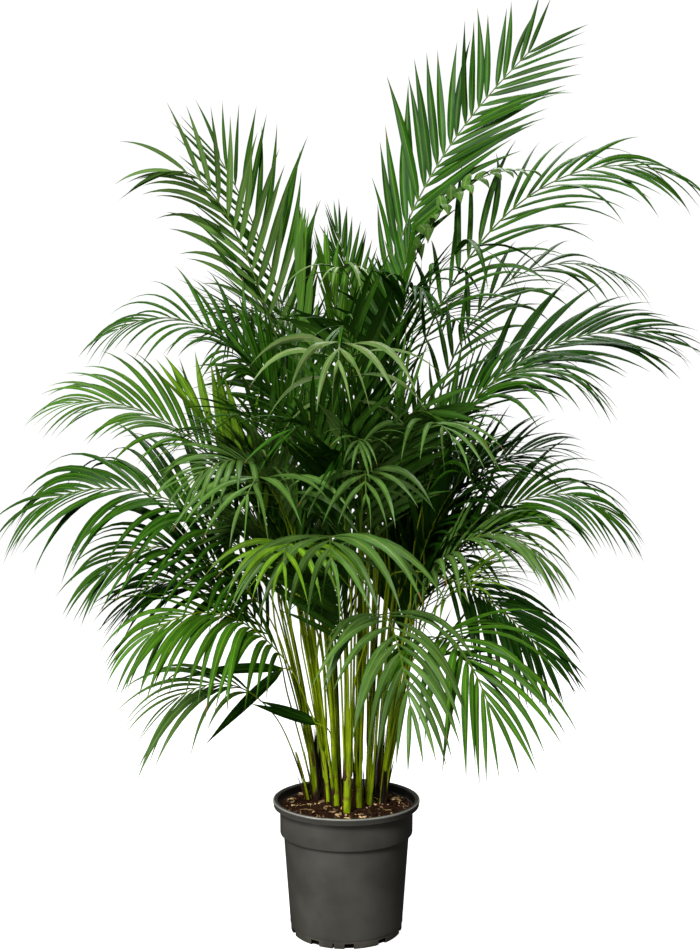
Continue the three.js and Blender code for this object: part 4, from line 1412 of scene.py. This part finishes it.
@dataclass(frozen=True)
class Pot:
    """The thin-walled nursery pot: tapered wall, stepped collar, thick lip, notched foot. In mm.

    Attributes:
        height: The height of the whole.
        foot_radius: The radius at the floor.
        shoulder_radius: The radius below the collar.
        shoulder_height: The height there.
        collar_radius: The collar's radius.
        collar_height: The height where it starts.
        lip_radius: The radius of the lip, and of the whole.
        lip_foot: The height where the lip starts.
        wall: The thickness of the wall.
        floor: The height of the floor's upper side.
        ledge: The height of the faint step over the notches.
        notches: How many drainage notches there are.
        notch_turn: Where the first one is, in degrees from the front.
        notch_size: A notch's width and height.
        slit_turn: Where the slit is.
        slit_width: Its width.
    """

    height: float = 212
    foot_radius: float = 90.5
    shoulder_radius: float = 102.5
    shoulder_height: float = 155.5
    collar_radius: float = 108.3
    collar_height: float = 158.5
    lip_radius: float = 120
    lip_foot: float = 200
    wall: float = 1.5
    floor: float = 2.2
    ledge: float = 13
    notches: int = 10
    notch_turn: float = 3
    notch_size: tuple[float, float] = (15, 9)
    slit_turn: float = -13
    slit_width: float = 2.5

    SIDES, CREASE = 160, 35
    # How far the notches' boxes reach in and out of the wall, and how blunt their corners are.
    CUT_REACH, NOTCH_CORNER, SLIT_CORNER = 6.0, 0.8, 0.6

    def profile(self) -> np.ndarray:
        """Works out the outline: from the floor's middle, up outside, over the lip and down inside.

        Returns:
            The radius and height of each point in metres.
        """
        top, foot, lip, lip_foot = self.height, self.foot_radius, self.lip_radius, self.lip_foot
        shoulder, shoulder_z = self.shoulder_radius, self.shoulder_height
        collar, collar_z = self.collar_radius, self.collar_height
        wall, floor, ledge = self.wall, self.floor, self.ledge
        slope = (shoulder - foot) / shoulder_z
        underside = [
            (0.5, 3.0), (30, 3.0), (31.5, 0.0), (60, 0.0), (foot - 3, 0.0), (foot - 1, 0.5),
            (foot, 2.0), (foot + ledge * slope * 0.3, ledge - 0.6), (foot + 1.2, ledge),
            (foot + 1.4, ledge + 0.8),
        ]
        outside = [(foot + z * slope, z) for z in np.linspace(20, shoulder_z - 1, 9)]
        step = [
            (shoulder, shoulder_z), (shoulder + 0.6, shoulder_z + 0.5),
            (collar - 1.2, collar_z - 0.8), (collar - 0.3, collar_z), (collar, collar_z + 0.9),
            (collar + 0.3, 180), (collar + 0.6, lip_foot), (collar + 0.9, lip_foot + 0.4),
        ]
        rim = [
            (lip - 1.9, lip_foot + 1.4), (lip - 1.2, lip_foot + 1.9), (lip - 1.0, lip_foot + 2.6),
            (lip - 0.7, lip_foot + 7), (lip - 0.1, lip_foot + 8), (lip, lip_foot + 9),
            (lip, top - 1.1), (lip - 0.4, top - 0.3), (lip - 1.1, top), (lip - 5.2, top),
            (lip - 6.3, top - 0.3), (lip - 7.2, top - 1.2), (lip - 8.0, top - 3),
            (lip - 10.5, top - 10),
        ]
        inside = [
            (collar - wall, 196), (collar - wall, collar_z), (shoulder - wall, shoulder_z),
            (foot - wall + 0.6, floor + 0.4), (foot - wall - 1, floor), (32, floor), (30, 4.8),
            (0.5, 4.8),
        ]
        return np.array([*underside, *outside, *step, *rim, *inside]) * MM

    def cutter(self) -> Any:
        """Makes the boxes that cut the notches and the slit, each turned round the axis.

        Returns:
            One object of all the boxes.
        """
        width, height = self.notch_size
        turns = [self.notch_turn + i * 360 / self.notches for i in range(self.notches)]
        cuts = [(turn, width, self.NOTCH_CORNER) for turn in turns]
        cuts.append((self.slit_turn, self.slit_width, self.SLIT_CORNER))
        ends = (self.foot_radius + np.array([-self.CUT_REACH, self.CUT_REACH])) * MM
        shell = Shell()
        for turn, breadth, corner in cuts:
            out = compass(math.radians(turn - 90))
            sideways = np.array([-out[1], out[0], 0.0])
            half, shoulder = breadth / 2, height - corner
            outline = np.array(
                [(-half, -2), (-half, shoulder), (corner - half, height), (half - corner, height),
                 (half, shoulder), (half, -2)]
            ) * MM
            ring = sideways * outline[:, :1] + UP * outline[:, 1:]
            shell.add_tubes(np.stack([ring + out * end for end in ends])[None])
        return shell.to_piece("notch_cutter", [], crease=30)

    def build(self, material: bpy.types.Material) -> Any:
        """Builds the pot: the profile turned round the axis, then the notches cut out.

        Args:
            material: The plastic.

        Returns:
            The piece.
        """
        grid = turned(self.profile(), self.SIDES)[None]
        shell = Shell()
        shell.add_tubes(grid, tube_places(np.linspace(0, 1, grid.shape[1]), self.SIDES))
        piece = shell.to_piece("nursery_pot", [material], self.CREASE)
        cutter = self.cutter()
        cut = piece.modifiers.new("notches", "BOOLEAN")
        cut.operation, cut.object, cut.solver = "DIFFERENCE", cutter, "EXACT"
        graph = bpy.context.evaluated_depsgraph_get()
        mesh = bpy.data.meshes.new_from_object(piece.evaluated_get(graph))
        piece.modifiers.clear()
        piece.data = mesh
        bpy.data.objects.remove(cutter)
        mesh.set_sharp_from_angle(angle=math.radians(self.CREASE))
        return piece


# ---------------------------------------------------------------------------------------------
# Potting mix
# ---------------------------------------------------------------------------------------------


@dataclass(frozen=True)
class PottingMix:
    """Bark mix in the pot: a lumpy plug, loose chips and fibres on top. In mm.

    Attributes:
        edge_radius: The radius of the surface.
        edge_height: Its height at the pot's wall.
        crown_height: Its height in the middle.
        crown_radius: How far out the middle's height reaches.
        lumps: How tall the lumps are.
        chips: How many chips there are.
        chip_length: Their length.
        chip_breadth: Their breadth as a share of their length.
        chip_thickness: Their thickness, likewise.
        fibres: How many fibres there are.
        fibre_length: Their length.
        fibre_radius: Their radius.
        margin: How far chips and fibres stay from the edge.
        clearance: How far they stay from a cane's skin.
    """

    edge_radius: float = 107.6
    edge_height: float = 198.5
    crown_height: float = 203
    crown_radius: float = 62
    lumps: float = 1.3
    chips: int = 760
    chip_length: tuple[float, float] = (3.5, 18)
    chip_breadth: tuple[float, float] = (0.22, 0.55)
    chip_thickness: tuple[float, float] = (0.12, 0.3)
    fibres: int = 26
    fibre_length: tuple[float, float] = (8, 30)
    fibre_radius: tuple[float, float] = (0.2, 0.4)
    margin: float = 5
    clearance: float = 2

    RINGS, SIDES = 60, 180
    # The plug's outline down the pot's wall to the floor, as radius and height.
    WALL = ((106.2, 195), (106.2, 159), (100.2, 155), (82.0, 3.0), (0.5, 3.0))
    PLUG_SHADE = 0.15
    CHIP_SIDES, CHIP_RINGS = 6, 4
    # Where a chip's rings lie in its thickness, and how broad each of them is.
    CHIP_LEVELS = np.array([(-0.5, 0.75), (-0.2, 1.0), (0.25, 0.95), (0.5, 0.7)])
    FIBRE_RINGS, FIBRE_SIDES = 7, 4

    def height(self, x: np.ndarray, y: np.ndarray) -> np.ndarray:
        """Works out the surface: a low mound with lumps made of crossed waves.

        Args:
            x: Places in mm.
            y: The same.

        Returns:
            The heights in mm.
        """
        radius = np.hypot(x, y)
        fall = ((radius - self.crown_radius) / (self.edge_radius - self.crown_radius)).clip(0, 1)
        mound = self.crown_height - (self.crown_height - self.edge_height) * fall
        waves = (
            np.sin(x * 0.21 + 1.3 * np.sin(y * 0.13)) * np.sin(y * 0.19 + 0.7 * np.sin(x * 0.17))
            + 0.6 * np.sin(x * 0.47 + y * 0.31) * np.sin(y * 0.53 - x * 0.22)
            + 0.35 * np.sin(x * 1.1 - y * 0.6) * np.sin(y * 1.3 + x * 0.4)
        )
        return mound + self.lumps * waves

    def build_plug(self, material: bpy.types.Material) -> Any:
        """Builds the plug: rings across the lumpy top, then down the pot's wall to the floor.

        Args:
            material: The bark.

        Returns:
            The piece.
        """
        reach = np.sqrt(np.linspace(0.00002, 1, self.RINGS)) * self.edge_radius
        top = turned(np.stack([reach, np.zeros(self.RINGS)], axis=-1), self.SIDES)
        top[..., 2] = self.height(top[..., 0], top[..., 1])
        grid = np.concatenate([top, turned(np.array(self.WALL), self.SIDES)])[::-1]
        shell = Shell()
        place = tube_places(np.linspace(0, 1, len(grid)), self.SIDES)
        shell.add_tubes(grid[None] * MM, place, {"leaflet": np.array([self.PLUG_SHADE])})
        return shell.to_piece("bark_mix", [material], crease=80)

    def scatter(self, rng: np.random.Generator, count: int) -> np.ndarray:
        """Draws places on the surface, even over its area, and keeps those clear of the canes.

        Args:
            rng: The source of the places.
            count: How many are wanted.

        Returns:
            The places (x, y) in mm, of shape (count, 2).
        """
        radius = np.sqrt(rng.uniform(0, 1, count * 3)) * (self.edge_radius - self.margin)
        angle = rng.uniform(0, 2 * np.pi, count * 3)
        spots = np.stack([radius * np.cos(angle), radius * np.sin(angle)], axis=-1)
        feet = np.array([cane.foot for cane in CANES])
        room = np.array([cane.foot_radius for cane in CANES]) + self.clearance
        away = np.linalg.norm(spots[:, None] - feet[None], axis=-1)
        return spots[(away > room).all(axis=1)][:count]

    def build_chips(self, material: bpy.types.Material) -> Any:
        """Builds the chips: six-sided bits with uneven corners, tilted and half sunk in the mix.

        Args:
            material: The bark.

        Returns:
            The piece.
        """
        rng = np.random.default_rng(CHIP_SEED)
        spots = self.scatter(rng, self.chips)
        count, rings, sides = len(spots), self.CHIP_RINGS, self.CHIP_SIDES
        long = rng.gamma(3.0, 2.4, count).clip(*self.chip_length)
        broad = long * rng.uniform(*self.chip_breadth, count)
        size = np.stack([long, broad, long * rng.uniform(*self.chip_thickness, count)], axis=-1)
        angle = np.arange(sides) * 2 * np.pi / sides
        ring = np.stack([np.cos(angle), np.sin(angle)], axis=-1)[::-1]
        uneven = rng.uniform(0.7, 1.2, (count, 1, sides, 1))
        level, breadth = self.CHIP_LEVELS.T[:, :, None, None]
        flat = ring * breadth * uneven * 0.5 + rng.normal(0, 0.03, (count, rings, sides, 2))
        high = level + rng.normal(0, 0.06, (count, rings, sides, 1))
        local = np.concatenate([flat, high], axis=-1) * size[:, None, None]
        turn = rng.uniform(0, 2 * np.pi, count)
        tilt = rng.normal(0, 0.3, (count, 2))
        x_axis = unit(np.stack([np.cos(turn), np.sin(turn), tilt[:, 0]], axis=-1))
        y_axis = square_to(np.stack([-np.sin(turn), np.cos(turn), tilt[:, 1]], axis=-1), x_axis)
        axes = np.stack([x_axis, y_axis, np.cross(x_axis, y_axis)], axis=1)
        placed = np.einsum("nrsk,nkj->nrsj", local, axes)
        base = np.stack([*spots.T, self.height(*spots.T) + size[:, 2] * 0.25], axis=-1)
        grid = (placed + base[:, None, None]) * MM
        shell = Shell()
        own = rng.beta(1.1, 2.1, count)[:, None, None]
        shell.add_tubes(grid, numbers={"leaflet": own})
        return shell.to_piece("bark_chips", [material], crease=30)

    def build_fibres(self, material: bpy.types.Material) -> Any:
        """Builds the fibres: thin bent threads that lie on the mix and are highest in the middle.

        Args:
            material: The straw.

        Returns:
            The piece.
        """
        rng = np.random.default_rng(FIBRE_SEED)
        spots = self.scatter(rng, self.fibres)
        count = len(spots)
        turn = rng.uniform(0, 2 * np.pi, count)[:, None]
        curl = rng.normal(0, 0.5, count)[:, None]
        step = np.linspace(-0.5, 0.5, self.FIBRE_RINGS)[None]
        length = rng.uniform(*self.fibre_length, count)[:, None]
        direction = turn + curl * step
        x = spots[:, :1] + length * step * np.cos(direction)
        y = spots[:, 1:] + length * step * np.sin(direction)
        inside = np.minimum(1, (self.edge_radius - 2) / np.maximum(np.hypot(x, y), 1e-6))
        x, y = x * inside, y * inside
        z = self.height(x, y) + 1.2 + 2.2 * rng.uniform(0, 1, (count, 1)) * np.cos(step * np.pi)
        line = np.stack([x, y, z], axis=-1)
        along = unit(np.gradient(line, axis=1))
        side = square_to(np.broadcast_to(UP, along.shape), along)
        thick = rng.uniform(*self.fibre_radius, count)[:, None, None]
        grid = oval_tubes(line, side, np.cross(along, side), thick, thick, self.FIBRE_SIDES) * MM
        shell = Shell()
        own = rng.uniform(0.5, 1, count)[:, None, None]
        shell.add_tubes(grid, numbers={"leaflet": own})
        return shell.to_piece("bark_fibres", [material], crease=60)


# ---------------------------------------------------------------------------------------------
# Studio
# ---------------------------------------------------------------------------------------------


@dataclass(frozen=True)
class Studio:
    """The pale floor, the soft lights and the camera that sees the plant as the photo does.

    Attributes:
        camera_place: Where the camera stands.
        focal_pixels: Its focal length in pixels of the photo.
        image_height: The photo's height in pixels, which is its longer side.
        sensor: The sensor's size along that side in mm.
        floor_glow: How bright the floor is.
        sky_glow: How bright the sky is.
    """

    camera_place: Vec = (0.0059, -1.87, 0.742)
    focal_pixels: float = 1140
    image_height: float = 949
    sensor: float = 36
    floor_glow: float = 0.92
    sky_glow: float = 0.03

    # The floor: points round it, radii of its flat rings, its bend's radius and its wall's top.
    SIDES = 96
    FLAT, ROUND, TOP = (0.001, 1.0, 3.0, 6.0), 3, 7.0

    def build_camera(self) -> None:
        """Makes the level camera that looks along +Y."""
        data = bpy.data.cameras.new("view")
        data.sensor_width = self.sensor
        data.lens = self.focal_pixels / self.image_height * self.sensor
        data.clip_end = 60
        camera = add_object("view", data)
        camera.location = self.camera_place
        camera.rotation_euler = (math.radians(90), 0, 0)
        bpy.context.scene.camera = camera

    def build_sweep(self) -> None:
        """Makes the floor, a disc that curves up into a wall far away from the plant.

        The rings are mirrored, so that they run the other way and the faces look inwards.
        """
        bow = np.linspace(0.1, math.pi / 2, 14)
        flat = np.stack([self.FLAT, np.zeros(len(self.FLAT))], axis=-1)
        curved = self.ROUND * np.stack([np.sin(bow), 1 - np.cos(bow)], axis=-1) + flat[-1]
        outline = np.concatenate([flat, curved, [(self.FLAT[-1] + self.ROUND, self.TOP)]])
        rings = turned(outline, self.SIDES) * [1.0, -1.0, 1.0]
        mesh = bpy.data.meshes.new("studio_floor")
        mesh.from_pydata(rings.reshape(-1, 3), [], Shell.wall(len(outline), self.SIDES).tolist())
        mesh.shade_smooth()
        recipe = Recipe("studio_floor")
        inputs = {
            "Base Color": tint(200, 200, 198),
            "Roughness": 0.9,
            "Emission Color": tint(255, 255, 255),
            "Emission Strength": self.floor_glow,
        }
        paint = recipe.node("ShaderNodeBsdfPrincipled", None, inputs)
        mesh.materials.append(recipe.finish(paint.outputs[0]))
        floor = add_object("studio_floor", mesh)
        floor.visible_diffuse = floor.visible_glossy = floor.visible_shadow = False

    def build_light(self, name: str, place: Vec, aim: Vec, size: float, power: float) -> None:
        """Makes one square soft light.

        Args:
            name: Its name.
            place: Where it stands.
            aim: The point that it faces.
            size: Its side in metres.
            power: Its power in watts.
        """
        data = bpy.data.lights.new(name, "AREA")
        data.energy = power
        data.shape = "SQUARE"
        data.size = size
        light = add_object(name, data)
        light.location = place
        back = np.array(place) - np.array(aim)
        yaw = math.atan2(back[1], back[0]) + math.pi / 2
        light.rotation_euler = (math.atan2(math.hypot(back[0], back[1]), back[2]), 0, yaw)

    def build(self) -> None:
        """Makes camera, floor, lights and sky."""
        self.build_camera()
        self.build_sweep()
        self.build_light("key", (-1.3, -3.3, 3.3), (0, 0, 0.8), 1.4, 268)
        self.build_light("fill", (2.8, -2.4, 1.4), (0, 0, 0.7), 2.0, 22)
        self.build_light("low", (-2.1, -1.75, 0.35), (0, 0, 0.12), 0.6, 34)
        self.build_light("top", (0.5, 1.4, 3.8), (0, 0, 0.9), 1.6, 110)
        bpy.context.scene.view_settings.view_transform = "Standard"
        world = bpy.data.worlds.new("sky")
        world.use_nodes = True
        background = world.node_tree.nodes["Background"]
        background.inputs["Color"].default_value = tint(240, 240, 234)
        background.inputs["Strength"].default_value = self.sky_glow
        bpy.context.scene.world = world


# ---------------------------------------------------------------------------------------------
# Assembly
# ---------------------------------------------------------------------------------------------

BARK = BarkFinish("bark", tint(42, 22, 9), tint(250, 212, 156))
STRAW = BarkFinish("straw", tint(128, 88, 40), tint(226, 190, 124))
CANE_SKIN = StalkFinish(
    "cane_skin", tint(142, 162, 8), tint(80, 110, 4), tint(96, 72, 20), tint(44, 24, 8),
    tint(80, 110, 4),
)
# The husks' dry skin, dark enough to also paint in the shade between the canes' feet.
DRY_SKIN_AND_SHADE = StalkFinish(
    "dry_skin_and_shade", tint(60, 38, 16), tint(30, 17, 8), tint(96, 70, 38), tint(22, 13, 7),
    tint(60, 38, 16),
)
PETIOLE_SKIN = StalkFinish(
    "petiole_skin", tint(146, 166, 12), tint(88, 120, 6), tint(108, 80, 28), tint(60, 36, 14),
    tint(66, 94, 26),
)


def settle(piece: Any, slot: str, *nodes: str) -> None:
    """Ties a piece to the frame.

    Args:
        piece: The piece.
        slot: The record's material slot that it stands for; not used.
        nodes: The solids that it replaces, if any.
    """
    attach(piece, BODY)
    if nodes:
        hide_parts(*nodes)
    faces = len(piece.data.polygons)
    LOG.info("%s: %d faces, stands for %s", piece.name, faces, nodes or "no solid")


def main() -> None:
    """Builds the studio, the pot, the mix, the canes and the fronds."""
    logging.basicConfig(level=logging.INFO, format="%(message)s")
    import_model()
    Studio().build()

    settle(Pot().build(PotFinish().build()), "pot_plastic", "pot")
    mix, bark = PottingMix(), BARK.build()
    settle(mix.build_plug(bark), "potting_mix", "soil")
    settle(mix.build_chips(bark), "potting_mix")
    settle(mix.build_fibres(STRAW.build()), "potting_mix")

    skin = CANE_SKIN.build()
    for cane in CANES:
        settle(cane.build(skin), "cane_skin", cane.name)
    settle(HusksAndShade().build(DRY_SKIN_AND_SHADE.build()), "cane_skin")

    stalk = PETIOLE_SKIN.build()
    leaves = {tone: tone.value.build() for tone in Tone}
    for number, frond in enumerate(FRONDS):
        slot = "leaf_young" if frond.name in YOUNG_FRONDS else "leaf_green"
        settle(frond.build(leaves, stalk, FROND_SEED + number), slot, f"frond_{frond.name}")
    for number, frond in enumerate([*EXTRA_FRONDS, *InnerFronds().draw()]):
        settle(frond.build(leaves, stalk, EXTRA_SEED + number), "leaf_green")


if __name__ == "__main__":
    main()
